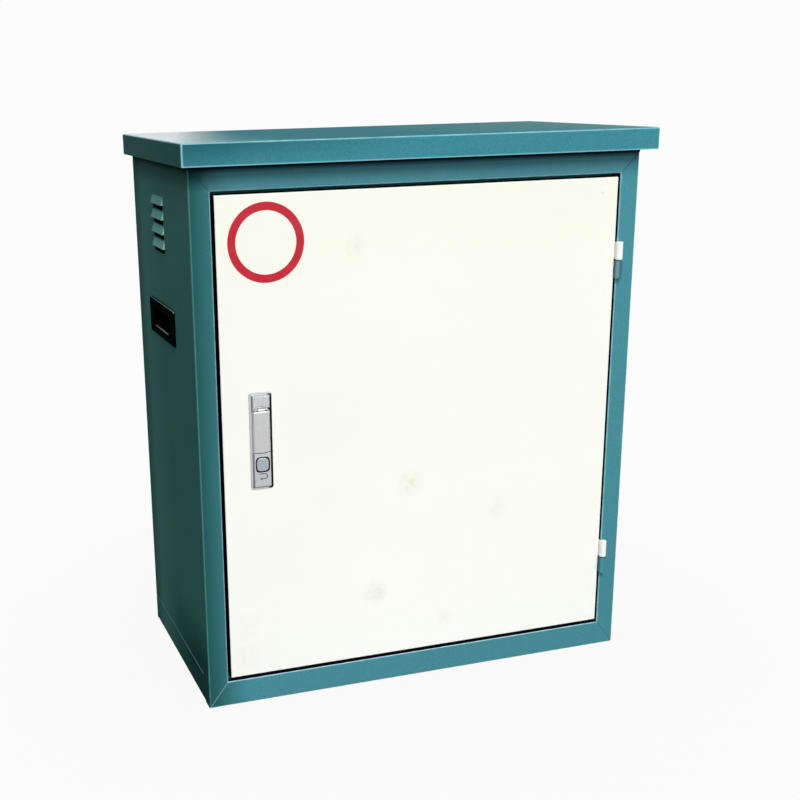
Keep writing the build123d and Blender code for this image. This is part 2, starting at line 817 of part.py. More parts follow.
def lock_cam():
    """The flat latch tongue on the spindle's square."""
    tip = -opening_half + stop_flange + cam_shortfall
    half = cam_width / 2
    tongue = block((tip, lock_x), (cam_front, cam_back), (spindle_z - half, spindle_z + half))
    tongue = fillet(tongue.edges().filter_by(Axis.Y).group_by(Axis.X)[0], half / 2)
    cam = tongue + bar_back(half, cam_front, cam_back, lock_x, spindle_z)
    hole = square_width / 2
    heights = (spindle_z - hole, spindle_z + hole)
    return cam - block((lock_x - hole, lock_x + hole), (cam_front - overrun, cam_back + overrun), heights)


def lock_cam_nut():
    """The nut that holds the latch tongue."""
    nut = hex_back(cam_nut_width, cam_back, cam_back + cam_nut_height, lock_x, spindle_z)
    return nut - bar_back(thread_radius, cam_back - overrun, cam_back + overrun, lock_x, spindle_z)


def button_bar(growth, front_depth, back_depth):
    """A bar of the button's rounded square section, grown sideways."""
    outline = RectangleRounded(button_width + 2 * growth, button_height + 2 * growth, button_corner + growth)
    bar = extrude(outline, back_depth - front_depth)
    return Pos(lock_x, at_depth(front_depth), button_z) * Rot(-90, 0, 0) * bar


def lock_button():
    """The push button below the lever, a rounded square."""
    face = -lock_rise - button_proud
    button = button_bar(0, face, face + button_length)
    return fillet(button.faces().sort_by(Axis.Y)[0].edges(), button_edge)


def lock_clamp():
    """A U-shaped strap that draws the lock against the inside of the door."""
    half_width = lock_well_width / 2
    reach = lock_well_length / 2 + clamp_leg_gap
    web_depths = (lock_well_depth, lock_well_depth + clamp_thickness)
    ends = (lock_height - reach - clamp_thickness, lock_height + reach + clamp_thickness)
    across = (lock_x - half_width, lock_x + half_width)
    strap = block(across, web_depths, ends)
    strap += block(across, (sheet, lock_well_depth), (ends[0], ends[0] + clamp_thickness))
    strap += block(across, (sheet, lock_well_depth), (ends[1] - clamp_thickness, ends[1]))
    hole = spindle_radius + clamp_spindle_gap
    strap -= bar_back(hole, lock_well_depth - overrun, lock_well_depth + overrun, lock_x, spindle_z)
    for z in clamp_screw_heights:
        strap -= bar_back(clamp_screw_radius, lock_well_depth - overrun, lock_well_depth + overrun, lock_x, z)
    return strap


def lock_clamp_screws():
    """Two screws through the strap into the lock."""
    seat = lock_well_depth + clamp_thickness
    screws = []
    for z in clamp_screw_heights:
        head = bar_back(clamp_screw_head_radius, seat, seat + clamp_screw_head, lock_x, z)
        screws.append(head + bar_back(clamp_screw_radius, lock_well_depth - clamp_screw_grip, seat, lock_x, z))
    return Compound(children=screws)


def stud_places():
    """Across-and-up places of the mounting studs."""
    across = plate_width / 2 - stud_inset
    middle = shell_height / 2
    up = plate_height / 2 - stud_inset
    return [(x, middle + z) for x in (-across, across) for z in (-up, up)]


def plate_back():
    """How far back the rear of the mounting plate lies."""
    return back_plane - plate_standoff


def mounting_plate():
    """A flat plate on four shouldered studs."""
    middle = shell_height / 2
    heights = (middle - plate_height / 2, middle + plate_height / 2)
    plate = block((-plate_width / 2, plate_width / 2), (plate_back() - plate_thickness, plate_back()), heights)
    plate = fillet(plate.edges().filter_by(Axis.Y), plate_corner)
    hole = stud_radius + plate_hole_clearance
    for x, z in stud_places():
        plate -= bar_back(hole, plate_back() - overrun, plate_back() + overrun, x, z)
    return plate


def mounting_studs():
    """Four studs welded to the rear sheet, each with a shoulder for the plate."""
    tail = plate_back() - plate_thickness - flat_washer - stud_tail
    studs = []
    for x, z in stud_places():
        stud = bar_back(stud_radius, tail, plate_back(), x, z)
        studs.append(stud + bar_back(stud_shoulder_radius, plate_back(), back_plane, x, z))
    return Compound(children=studs)


def mounting_nuts():
    """A washer and a nut on each stud."""
    seat = plate_back() - plate_thickness
    nuts = []
    for x, z in stud_places():
        nut = bar_back(flat_washer_radius, seat - flat_washer, seat, x, z)
        nut += hex_back(nut_width, seat - flat_washer - nut_height, seat - flat_washer, x, z)
        nuts.append(nut - bar_back(stud_radius, seat - nut_height - overrun, seat + overrun, x, z))
    return Compound(children=nuts)


def gland_base():
    """Height of the underside of the cable-entry plate."""
    return sheet + gland_seal


def gland_plate():
    """A blank plate over the cable entry."""
    plate = gland_hole(gland_length, gland_width, gland_base(), gland_base() + gland_thickness)
    for x, depth in gland_screw_places():
        plate -= post(gland_screw_radius, -overrun, overrun + gland_base(), x, depth)
    return plate


def gland_gasket():
    """The seal under the cable-entry plate."""
    bottom = sheet + gland_seal_clearance
    top = gland_base() - gland_seal_clearance
    ring = gland_hole(gland_length, gland_width, bottom, top)
    ring -= gland_hole(gland_opening_length, gland_opening_width, bottom - overrun, top + overrun)
    for x, depth in gland_screw_places():
        hole = gland_screw_radius + gland_seal_clearance
        ring -= post(hole, bottom - overrun, top + overrun, x, depth)
    return ring


def gland_screws():
    """Screws that hold the cable-entry plate to the floor."""
    seat = gland_base() + gland_thickness
    screws = []
    for x, depth in gland_screw_places():
        head = post(gland_screw_head_radius, seat, seat + gland_screw_head, x, depth)
        screws.append(head + post(gland_screw_radius, sheet - gland_screw_tail, seat, x, depth))
    return Compound(children=screws)


def earth_stud():
    """The earthing stud on the floor."""
    return post(earth_radius, sheet, sheet + earth_length, -side_face + earth_inset, earth_depth)


def earth_nuts():
    """Two nuts and two washers on the earthing stud."""
    x = -side_face + earth_inset
    level = sheet
    pieces = []
    for _ in range(2):
        washer = post(flat_washer_radius, level, level + flat_washer, x, earth_depth)
        nut = washer + hex_up(nut_width, level + flat_washer, level + flat_washer + nut_height, x, earth_depth)
        level += flat_washer + nut_height
        pieces.append(nut - post(earth_radius, 0, sheet + earth_length + overrun, x, earth_depth))
    return Compound(children=pieces)


def all_nodes():
    """Every piece of the cabinet under its node name."""
    left_side = side_panel()
    left_grip = side_grip()
    return {
        "left_side_panel": left_side,
        "right_side_panel": mirror(left_side, Plane.YZ),
        "bottom_pan": bottom_pan(),
        "top_panel": top_panel(),
        "back_panel": back_panel(),
        "roof_cap": roof_cap(),
        "roof_rails": roof_rails(),
        "roof_bolts": roof_bolts(),
        "side_grip_left": left_grip,
        "side_grip_right": mirror(left_grip, Plane.YZ),
        "mounting_plate": mounting_plate(),
        "mounting_studs": mounting_studs(),
        "mounting_nuts": mounting_nuts(),
        "gland_plate": gland_plate(),
        "gland_gasket": gland_gasket(),
        "gland_screws": gland_screws(),
        "earth_stud": earth_stud(),
        "earth_nuts": earth_nuts(),
        "hinge_frame_knuckle_upper": frame_knuckle(hinge_upper),
        "hinge_frame_knuckle_lower": frame_knuckle(hinge_lower),
        "hinge_pin_upper": hinge_pin(hinge_upper),
        "hinge_pin_lower": hinge_pin(hinge_lower),
        "hinge_washer_upper": hinge_washer(hinge_upper),
        "hinge_washer_lower": hinge_washer(hinge_lower),
        "door_panel": door_panel(),
        "door_stiffener": door_stiffener(),
        "door_gasket": door_gasket(),
        "hinge_door_knuckle_upper": door_knuckle(hinge_upper),
        "hinge_door_knuckle_lower": door_knuckle(hinge_lower),
        "lock_housing": lock_housing(),
        "lock_clamp": lock_clamp(),
        "lock_clamp_screws": lock_clamp_screws(),
        "lock_spindle": lock_spindle(),
        "lock_cam": lock_cam(),
        "lock_cam_nut": lock_cam_nut(),
        "lever_pin": lever_pin(),
        "lock_lever": lock_lever(),
        "lock_button": lock_button(),
    }


os.makedirs("parts", exist_ok=True)
for node, shape in all_nodes().items():
    export_step(shape, os.path.join("parts", node + ".step"))
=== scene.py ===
import json
import math

import bmesh
import bpy
from mathutils import Matrix, Vector


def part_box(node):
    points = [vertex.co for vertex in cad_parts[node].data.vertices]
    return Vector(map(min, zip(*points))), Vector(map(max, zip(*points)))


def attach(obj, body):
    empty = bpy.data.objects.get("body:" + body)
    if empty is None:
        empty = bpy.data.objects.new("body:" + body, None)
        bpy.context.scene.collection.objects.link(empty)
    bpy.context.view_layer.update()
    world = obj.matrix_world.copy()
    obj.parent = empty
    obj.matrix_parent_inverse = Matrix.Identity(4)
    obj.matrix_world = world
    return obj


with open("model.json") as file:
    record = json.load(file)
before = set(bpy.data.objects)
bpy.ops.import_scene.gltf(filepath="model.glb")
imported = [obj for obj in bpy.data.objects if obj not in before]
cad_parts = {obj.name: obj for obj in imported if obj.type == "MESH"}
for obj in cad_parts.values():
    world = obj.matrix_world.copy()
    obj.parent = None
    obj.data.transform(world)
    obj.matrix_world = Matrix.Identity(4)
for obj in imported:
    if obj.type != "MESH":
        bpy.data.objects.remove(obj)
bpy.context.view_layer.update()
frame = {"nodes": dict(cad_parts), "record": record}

# Camera, from a fit of the cabinet's edges to the photograph
camera_place = (-0.6470, -1.6108, 0.7844)
camera_aim = (-0.1750, -0.1485, 0.3106)
camera_roll_deg = 1.136
camera_lens_mm = 57.06
camera_shift = (0.1299, 0.0902)

# Stage and lamps
floor_half = 6.0
floor_paint = (0.36, 0.37, 0.36)
floor_roughness = 0.9
white = (0.973, 0.975, 0.973)
floor_shadow_share = 0.04
floor_shadow_near = 0.25
floor_shadow_far = 0.95
sky_tone = (0.95, 0.98, 1.0)
sky_level = 0.14
lamp_aim = (0.0, -0.1, 0.38)
lamps = {
    "key": {"place": (-0.50, -5.60, 5.30), "size": 3.6, "power": 520.0},
    "fill": {"place": (1.60, -4.60, 0.90), "size": 2.4, "power": 46.0},
}

# Colours, as linear red, green and blue
teal = (0.052, 0.255, 0.310)
teal_dark = (0.026, 0.150, 0.175)
teal_worn_and_lit = (0.170, 0.440, 0.520)
teal_fold_highlight = (0.270, 0.570, 0.650)
teal_sill_highlight = (0.540, 0.820, 0.890)
teal_shade_tint = (0.130, 0.265, 0.305)
teal_film = (0.200, 0.260, 0.300)
teal_shade = (0.012, 0.070, 0.066)
teal_green = (0.056, 0.190, 0.165)
teal_stile_shade = (0.017, 0.092, 0.090)
teal_corner_highlight = (0.085, 0.270, 0.275)
teal_barrel = (0.075, 0.165, 0.205)
barrel_highlight = (0.200, 0.330, 0.400)
teal_fascia_shade = (0.014, 0.095, 0.115)
teal_end_shade = (0.032, 0.145, 0.135)
teal_lit = (0.260, 0.640, 0.600)
teal_glint = (0.520, 0.800, 0.780)
teal_eave_shadow = (0.001, 0.006, 0.009)
gap_black = (0.003, 0.004, 0.009)
teal_dust_and_sheen = (0.500, 0.700, 0.640)
cream = (0.895, 0.905, 0.838)
cream_stain = (0.770, 0.765, 0.655)
cream_smudge = (0.640, 0.610, 0.450)
cream_lit = (0.930, 0.940, 0.900)
plastic_black = (0.0010, 0.0014, 0.0018)
plastic_grey = (0.0026, 0.0036, 0.0040)
plastic_highlight = (0.420, 0.500, 0.440)
zinc_grey = (0.54, 0.55, 0.56)
zinc_pale = (0.70, 0.71, 0.71)
zinc_dull = (0.40, 0.40, 0.39)
chrome = (0.510, 0.512, 0.518)
housing_chrome = (0.490, 0.515, 0.535)
mark_chrome = (0.110, 0.120, 0.135)
chrome_highlight = (0.88, 0.88, 0.90)
button_chrome = (0.350, 0.410, 0.450)
chrome_grime = (0.30, 0.30, 0.31)
chrome_shade = (0.100, 0.110, 0.120)
recess_shadow = (0.006, 0.008, 0.012)
rubber_black = (0.012, 0.012, 0.012)
rubber_grey = (0.040, 0.040, 0.038)
brass_tarnished = (0.130, 0.100, 0.060)
brass_dark = (0.055, 0.045, 0.032)
sign_red = (0.500, 0.014, 0.030)
sign_red_faded = (0.540, 0.030, 0.046)
sealer_dark = (0.090, 0.230, 0.215)
sealer_pale = (0.215, 0.430, 0.400)

# Grain of the finishes, as features in a metre
cloud_grain = 5.0
gloss_grain = 9.0
smear_grain = 13.0
dull_grain = 26.0
scuff_grain = 34.0
fade_grain = 40.0
patch_grain = 60.0
mould_grain = 70.0
handling_grain = 120.0
spangle_grain = 180.0
lump_grain = 260.0
speck_grain = 430.0
peel_grain = 850.0
pore_grain = 1200.0
spark_grain = 1500.0

# Steps of detail in a noise
detail_low = 2.0
detail_some = 3.0
detail_more = 4.0
detail_high = 5.0
detail_full = 6.0

# Marks made by a noise: where it starts and is full, and the least and most that it gives
teal_cloud_shares = (0.35, 0.70, 0.0, 0.20)
teal_speck_shares = (0.56, 0.75, 0.0, 0.50)
teal_fleck_shares = (0.42, 0.26, 0.0, 0.22)
teal_scuff_shares = (0.60, 0.78, 0.0, 0.14)
teal_gloss_shares = (0.3, 0.7, 0.46, 0.58)
fold_patch_shares = (0.30, 0.62)
barrel_grey_shares = (0.3, 0.7, 0.35, 0.75)
dust_drift_shares = (0.25, 0.70, 0.30, 0.55)
weld_ground_shares = (0.3, 0.6, 0.70, 1.0)
cream_cloud_shares = (0.40, 0.75, 0.0, 0.10)
cream_smear_shares = (0.64, 0.80, 0.0, 0.16)
cream_speck_shares = (0.68, 0.78, 0.0, 0.18)
cream_gloss_shares = (0.3, 0.7, 0.42, 0.54)
smudge_ragged_shares = (0.40, 0.62, 0.25, 1.0)
knuckle_patch_shares = (0.50, 0.75, 0.0, 0.25)
knuckle_gloss_shares = (0.3, 0.7, 0.40, 0.52)
mouth_patch_shares = (0.3, 0.6, 0.4, 0.9)
plastic_gloss_shares = (0.3, 0.7, 0.36, 0.52)
zinc_dull_shares = (0.55, 0.75, 0.0, 0.5)
zinc_gloss_shares = (0.3, 0.7, 0.32, 0.50)
chrome_brush_shares = (0.3, 0.7, 0.0, 0.12)
chrome_grime_shares = (0.58, 0.76, 0.0, 0.35)
chrome_gloss_shares = (0.25, 0.75, 0.24, 0.38)
rubber_gloss_shares = (0.3, 0.7, 0.75, 0.92)
brass_tarnish_shares = (0.4, 0.7, 0.0, 1.0)
brass_gloss_shares = (0.3, 0.7, 0.25, 0.45)
ink_fade_shares = (0.40, 0.75, 0.0, 1.0)
ink_pinhole_shares = (0.70, 0.76, 0.0, 0.5)
ink_gloss_shares = (0.0, 1.0, 0.34, 0.44)
sealer_gloss_shares = (0.3, 0.7, 0.4, 0.6)

# Stretch of a grain along each axis
scuff_stretch_shares = (1.0, 1.0, 0.25)
brush_stretch_shares = (1.0, 1.0, 0.06)

# Depths of relief in the finishes, and how strongly each finish shows it
peel_depth = 0.0004
brush_depth = 0.0002
spark_depth = 0.0003
pore_depth = 0.0006
teal_peel_share = 0.10
cream_peel_share = 0.08
plastic_grain_share = 0.20
zinc_peel_share = 0.08
brush_share = 0.06
pore_share = 0.5
brass_peel_share = 0.08
ink_peel_share = 0.05
sealer_lump_share = 0.3

# Sheen of the finishes, as the shader's specular level, and how metallic the lock is
side_sheen = 0.0005
grip_sheen = 0.00006
door_sheen = 0.30
roof_sheen = 0.0030
rubber_sheen = 0.3
ink_sheen = 0.12
chrome_metal_share = 0.92
spangle_share = 0.5

# Eased edges, and painted highlights on sharp edges and folds
casting_edge = 0.0006
casting_edge_share = 0.6
eased_edge = 0.0006
edge_samples = 6
eased_samples = 4
edge_turn = (0.985, 0.80)
fold_turn = (0.995, 0.86)
fold_highlight_share = 0.90
barrel_fold_highlight_share = 0.12
corner_width = 0.0040

# How far a face turns towards an axis, where a mask starts and where it is full
face_turn = (0.5, 0.9)
wall_turn = (0.3, 0.8)
ridge_turn = (0.10, 0.30)
sill_turn = (0.62, 0.80)
louver_up_turn = (0.12, 0.22)
louver_out_turn = (0.80, 0.90)
grip_turn = (0.15, 0.60)
lever_turn = (-0.1, 0.3)
recess_turn = (0.25, 0.60)
barrel_shade_turn = (-0.25, 0.25)
barrel_highlight_turn = (0.30, 0.60)

# Painted shadow under the eave
eave_reach = 0.0300
eave_corner_reach = 0.0400
eave_left_share = 0.80
eave_right_share = 0.12
eave_line_low = 0.0100
eave_line_high = 0.0036
eave_line_share = 0.96

# Front of the frame
stile_shade_width = 0.0275
stile_face_depth = 0.004
stile_inner_share = 0.50
stile_ground_shade_share = 0.20
rail_fade = 0.0040
rail_shade_tint_share = 0.30
film_share = 0.08
mitre_gap = 0.0040
mitre_half = 0.0009
mitre_fade = 0.0004
mitre_share = 0.70
hinge_gap = 0.0030
joint_half = 0.0011
joint_fade = 0.0004
joint_share = 0.7

# Painted shadow in the gap round the door
gap_skin = 0.0005
gap_shadow_start = 0.0008
gap_shadow_full = 0.0016
gap_shadow_end = 0.0120

# Side walls and their louvers
wall_green_share = 0.92
ground_shade_height = 0.120
ground_shade_full = 0.040
ground_shade_behind = 0.075
ground_shade_ahead = 0.040
ground_shade_share = 1.30
rear_shade_reach = 0.050
rear_shade_share = 0.62
rear_light_reach = 0.16
rear_light_share = 0.16
upper_light_low = 0.38
upper_light_high = 0.62
upper_light_share = 0.09
louver_skin = 0.0004

# Hinge barrels
barrel_shade_share = 0.45
barrel_highlight_share = 0.70

# Roof: painted shade on its front, dust and painted reflection on its top, painted highlights on its hem
# and corner welds, and a patch wiped glossy at its left end
fascia_dark_share = 0.14
fascia_shade_start = 0.30
fascia_shade_full = 0.05
fascia_upper_shade_share = 0.80
fascia_corner_start = 0.09
fascia_corner_full = 0.02
fascia_corner_share = 0.34
roof_dark_share = 0.36
roof_far_sheen_share = 0.16
dust_reach = 0.17
hem_low = 0.0009
hem_high = 0.0019
weld_width = 0.0025
weld_fade = 0.0006
roof_wiped_roughness = 0.155
roof_wiped_slant_share = 0.255
roof_wiped_start = 0.120
roof_wiped_full = 0.032

# Painted shade on the lock, and the painted highlight on its lever
side_shade_top = 0.0036
side_shade_full = 0.0022
side_shade_width = 0.0040
deep_shade_top = 0.0009
deep_shade_full = 0.0003
foot_shade_height = 0.0046
foot_clean_height = 0.0012
recess_shade_share = 0.62
button_shade_width = 0.0013
button_fade_share = 0.05
squareness = 4.0
lever_line_width = 0.0014
lever_line_fade = 0.0003
lever_shoulder = 0.0042

# Yellowing towards the door's top, and painted light that brightens the coat low down
aged_start = 0.28
aged_full = 0.66
aged_share = 0.42
low_light_start = 0.30
low_light_full = 0.05
low_light_share = 0.7

# Faint smudges and two dark specks on the door: place across and up, reach, and strength
smudges = (
    (-0.018, 0.278, 0.021, 0.47),
    (-0.093, 0.591, 0.018, 0.36),
    (-0.067, 0.130, 0.021, 0.47),
    (0.108, 0.228, 0.017, 0.34),
    (0.035, 0.078, 0.016, 0.22),
    (0.2479, 0.6397, 0.0022, 1.0),
    (-0.1815, 0.5493, 0.0020, 0.8),
    (-0.252, 0.066, 0.036, 0.17),
    (-0.246, 0.110, 0.024, 0.14),
)

# Painted highlights on the grip's top edge and along the lower edge of its mouth
grip_highlight_share = 1.6
mouth_height = 0.0115
mouth_line = 0.0011
mouth_half = 0.040
mouth_fade = 0.008

# Printed ring on the door
ring_centre = (-0.2070, 0.6010)
ring_outer = 0.0480
ring_width = 0.0099
print_thickness = 0.00015
ring_steps = 96

# Sealer bead along the upper seam of the floor pan
seam_height = 0.03815
seam_setback = 0.022
bead_radius = 0.0007
bead_inset = 0.004
bead_steps = 40
bead_sides = 5

# Raised turn arrow on the lock, below its button
mark_drop = 0.0150
mark_reach = 0.0050
mark_turn_place = 0.0024
mark_radius = 0.0032
mark_width = 0.0016
mark_height = 0.0004
mark_head_place = -0.0012
mark_head_length = 0.0036
mark_head_half = 0.0023
mark_steps = 16

# Numbers of the colour sockets on Blender's Mix node
mix_first_input = 6
mix_second_input = 7
mix_output = 2


def colour(value):
    """A colour with alpha, or a socket as it is."""
    if isinstance(value, bpy.types.NodeSocket):
        return value
    return (*value, 1.0)


def join(tree, socket, value):
    """Join a socket to another output, or set its value."""
    if isinstance(value, bpy.types.NodeSocket):
        tree.links.new(value, socket)
    else:
        socket.default_value = value


def arithmetic(tree, operation, first, second):
    """One step of arithmetic on two values."""
    node = tree.nodes.new("ShaderNodeMath")
    node.operation = operation
    join(tree, node.inputs[0], first)
    join(tree, node.inputs[1], second)
    return node.outputs["Value"]


class Graph:
    """A material's node tree with short ways to add and join nodes."""

    def __init__(self, name):
        self.material = bpy.data.materials.new(name)
        self.material.use_nodes = True
        self.tree = self.material.node_tree
        self.shader = self.tree.nodes["Principled BSDF"]
        coordinates = self.add("ShaderNodeTexCoord")
        self.place = coordinates.outputs["Object"]
        self.facing = coordinates.outputs["Normal"]

    def add(self, kind, **inputs):
        """Add a node and set or join its inputs by name."""
        node = self.tree.nodes.new(kind)
        for name, value in inputs.items():
            self.put(node.inputs[name.replace("_", " ")], value)
        return node

    def put(self, socket, value):
        """Join a socket to another output, or set its value."""
        join(self.tree, socket, value)

    def stretched(self, factors):
        """Object coordinates scaled differently along each axis."""
        return self.add("ShaderNodeMapping", Vector=self.place, Scale=factors).outputs["Vector"]

    def noise(self, grain, detail, place=None):
        """Soft noise from zero to one."""
        node = self.add("ShaderNodeTexNoise", Vector=place or self.place, Scale=grain, Detail=detail)
        return node.outputs["Fac"]

    def cells(self, grain):
        """A steady grey for each cell of a cell pattern."""
        node = self.add("ShaderNodeTexVoronoi", Vector=self.place, Scale=grain)
        return self.add("ShaderNodeSeparateColor", Color=node.outputs["Color"]).outputs["Red"]

    def span(self, value, low, high, out_low=0.0, out_high=1.0):
        """Map a range of values on to another, held at both ends."""
        node = self.add("ShaderNodeMapRange", Value=value, From_Min=low, From_Max=high)
        node.inputs["To Min"].default_value = out_low
        node.inputs["To Max"].default_value = out_high
        return node.outputs["Result"]

    def mark(self, grain, detail, shares, place=None):
        """A noise mapped on to the marks that it makes."""
        return self.span(self.noise(grain, detail, place), *shares)

    def maths(self, operation, first, second):
        """One step of arithmetic on two values."""
        return arithmetic(self.tree, operation, first, second)

    def times(self, first, *others):
        """The product of several values."""
        for other in others:
            first = self.maths("MULTIPLY", first, other)
        return first

    def most(self, first, *others):
        """The greatest of several values."""
        for other in others:
            first = self.maths("MAXIMUM", first, other)
        return first

    def distance(self, value, middle=0.0):
        """How far a value lies from another, either way."""
        return self.maths("ABSOLUTE", self.maths("SUBTRACT", value, middle), 0.0)

    def vectors(self, operation, first, second=None):
        """A node with one step of arithmetic on one or two vectors."""
        node = self.tree.nodes.new("ShaderNodeVectorMath")
        node.operation = operation
        self.put(node.inputs[0], first)
        if second is not None:
            self.put(node.inputs[1], second)
        return node

    def along(self, vector, axis):
        """One of the three parts of a vector."""
        return self.add("ShaderNodeSeparateXYZ", Vector=vector).outputs[axis]

    def at(self, axis):
        """The place along one axis."""
        return self.along(self.place, axis)

    def turned(self, axis, sign, turn=face_turn):
        """A mask that is one where the surface faces one way along an axis."""
        start, full = turn
        return self.span(self.along(self.facing, axis), sign * start, sign * full)

    def fold(self):
        """A mask that is one where the sheet turns a corner, away from all three axes."""
        sizes = self.vectors("ABSOLUTE", self.facing).outputs["Vector"]
        most = self.most(*[self.along(sizes, axis) for axis in "XYZ"])
        return self.span(most, *fold_turn)

    def mix(self, factor, first, second):
        """Blend two colours."""
        node = self.tree.nodes.new("ShaderNodeMix")
        node.data_type = "RGBA"
        self.put(node.inputs["Factor"], factor)
        self.put(node.inputs[mix_first_input], colour(first))
        self.put(node.inputs[mix_second_input], colour(second))
        return node.outputs[mix_output]

    def spot(self, across, up, reach, strength):
        """A soft ragged spot round a place on the front."""
        centre = (across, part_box("door_panel")[0][1], up)
        away = self.vectors("DISTANCE", self.place, centre).outputs["Value"]
        near = self.span(away, reach, 0.0, 0.0, strength)
        ragged = self.mark(handling_grain, detail_high, smudge_ragged_shares)
        return self.times(near, ragged, self.turned("Y", -1))

    def edge(self, radius):
        """A mask that is one along the sharp edges of the piece."""
        bevel = self.add("ShaderNodeBevel", Radius=radius)
        bevel.samples = edge_samples
        flat = self.add("ShaderNodeNewGeometry").outputs["True Normal"]
        turn = self.vectors("DOT_PRODUCT", bevel.outputs["Normal"], flat).outputs["Value"]
        return self.span(turn, *edge_turn)

    def relief(self, height, strength, distance):
        """Bump the surface, over edges eased by a small radius."""
        bevel = self.add("ShaderNodeBevel", Radius=eased_edge)
        bevel.samples = eased_samples
        bump = self.add("ShaderNodeBump", Height=height, Strength=strength, Distance=distance)
        self.put(bump.inputs["Normal"], bevel.outputs["Normal"])
        self.put(self.shader.inputs["Normal"], bump.outputs["Normal"])

    def finish(self, base, roughness, **constants):
        """Join the colour and roughness, and set the shader's constants."""
        self.put(self.shader.inputs["Base Color"], base)
        self.put(self.shader.inputs["Roughness"], roughness)
        for name, value in constants.items():
            self.shader.inputs[name.replace("_", " ")].default_value = value
        return self.material


def paint(name, shading=None, sheen=side_sheen, highlight_share=fold_highlight_share, highlight_tone=None, coat=None):
    """Powder coat: cloudy tone, fine peel, dark specks, and a patchy painted highlight on the folds."""
    graph = Graph(name)
    tone = graph.mix(graph.mark(cloud_grain, detail_high, teal_cloud_shares), teal, teal_dark)
    grain = graph.noise(speck_grain, detail_low)
    tone = graph.mix(graph.span(grain, *teal_speck_shares), tone, teal_dark)
    tone = graph.mix(graph.span(grain, *teal_fleck_shares), tone, teal_worn_and_lit)
    upright = graph.stretched(scuff_stretch_shares)
    scuff = graph.mark(scuff_grain, detail_full, teal_scuff_shares, upright)
    tone = graph.mix(scuff, tone, teal_worn_and_lit)
    if shading:
        tone = shading(graph, tone)
    # Painted highlight: the folds are lightened in patches, standing in for light caught on the sheet's
    # bends
    patchy = graph.mark(patch_grain, detail_more, (*fold_patch_shares, highlight_share / 2, highlight_share))
    highlight = highlight_tone(graph) if highlight_tone else teal_fold_highlight
    tone = graph.mix(graph.times(graph.fold(), patchy), tone, highlight)
    gloss = graph.mark(gloss_grain, detail_more, teal_gloss_shares)
    graph.relief(graph.noise(peel_grain, detail_low), teal_peel_share, peel_depth)
    if coat:
        coat(graph)
    return graph.finish(tone, gloss, Specular_IOR_Level=sheen)


def eave_shading(graph, tone):
    """Painted shadow in the corner under the roof's edge, strongest at the left."""
    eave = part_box("roof_cap")[0][2]
    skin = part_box("bottom_pan")[0][0]
    height = graph.at("Z")
    amount = graph.span(graph.at("X"), skin, skin + eave_corner_reach, eave_left_share, eave_right_share)
    eave_shadow = graph.times(graph.span(height, eave - eave_reach, eave), amount)
    tone = graph.mix(eave_shadow, tone, teal_eave_shadow)
    # Painted shadow: a near-black line right under the roof's edge
    line = graph.span(height, eave - eave_line_low, eave - eave_line_high, 0.0, eave_line_share)
    return graph.mix(line, tone, teal_eave_shadow)


def corner_shading(graph, tone):
    """Painted shade on the front towards the cabinet's left corner, a pale ground weld on the lower left
    mitre, a greyer painted shade tint on the top rail, and painted shadow under the roof.
    """
    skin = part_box("bottom_pan")[0][0]
    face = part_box("left_side_panel")[0][1]
    ahead = graph.span(graph.at("Y"), face + stile_face_depth, face + stile_face_depth / 2)
    front = graph.times(graph.turned("Y", -1), ahead)
    across = graph.at("X")
    # Painted shade: the left stile's front darkens towards the cabinet's outer corner
    edge = graph.span(across, skin, skin + stile_shade_width, 1.0, stile_inner_share)
    fade = graph.span(across, skin + stile_shade_width * 2, skin + stile_shade_width)
    tone = graph.mix(graph.times(front, edge, fade), tone, teal_stile_shade)
    tone = graph.mix(graph.times(front, mitre_mask(graph)), tone, teal_worn_and_lit)
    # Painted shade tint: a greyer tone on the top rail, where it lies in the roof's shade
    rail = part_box("roof_cap")[0][2] - eave_reach
    upper = graph.span(graph.at("Z"), rail - rail_fade, rail, 0.0, rail_shade_tint_share)
    inward = graph.span(across, skin + stile_shade_width / 2, skin + stile_shade_width)
    tone = graph.mix(graph.times(front, upper, inward), tone, teal_shade_tint)
    return eave_shading(graph, tone)


def top_shading(graph, tone):
    """The top rail, with its right mitre and painted shadow inside the opening."""
    tone = upper_joint(graph, corner_shading(graph, tone))
    # Painted shadow on the rail's underside inside the opening
    return graph.mix(gap_shadow(graph, "Z"), tone, gap_black)


def upper_joint(graph, tone):
    """Dark line along the joint of the upper right mitre."""
    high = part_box("door_panel")[1]
    across = graph.maths("SUBTRACT", graph.at("X"), high[0] + hinge_gap)
    up = graph.maths("SUBTRACT", graph.at("Z"), high[2] + mitre_gap)
    line = graph.span(graph.distance(across, up), joint_half, joint_fade)
    outside = graph.span(across, 0.0, joint_fade)
    joint = graph.times(line, outside, graph.turned("Y", -1), joint_share)
    return graph.mix(joint, tone, teal_shade)


def gap_shadow(graph, axis):
    """A mask of painted shadow on the opening's inner faces, just behind the front of the frame."""
    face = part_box("left_side_panel")[0][1]
    depth = graph.at("Y")
    start = graph.span(depth, face + gap_shadow_start, face + gap_shadow_full)
    end = graph.span(depth, face + gap_shadow_end, face + gap_shadow_end / 2)
    return graph.times(start, end, graph.turned(axis, -1))


def pan_shading(graph, tone):
    """The floor pan's walls and front rail, with painted shadow on the sill under the door."""
    return graph.mix(sill_shadow(graph), wall_shading(graph, tone), gap_black)


def pan_fold_light(graph):
    """Painted highlight on the pan's folds, palest along the sill, and painted shadow where the sill
    lies in the door's gap.
    """
    # Painted highlight on the fold, brightest where it faces up, and painted shadow on the sill
    highlight = graph.mix(graph.turned("Z", 1, ridge_turn), teal_fold_highlight, teal_sill_highlight)
    return graph.mix(sill_shadow(graph), highlight, gap_black)


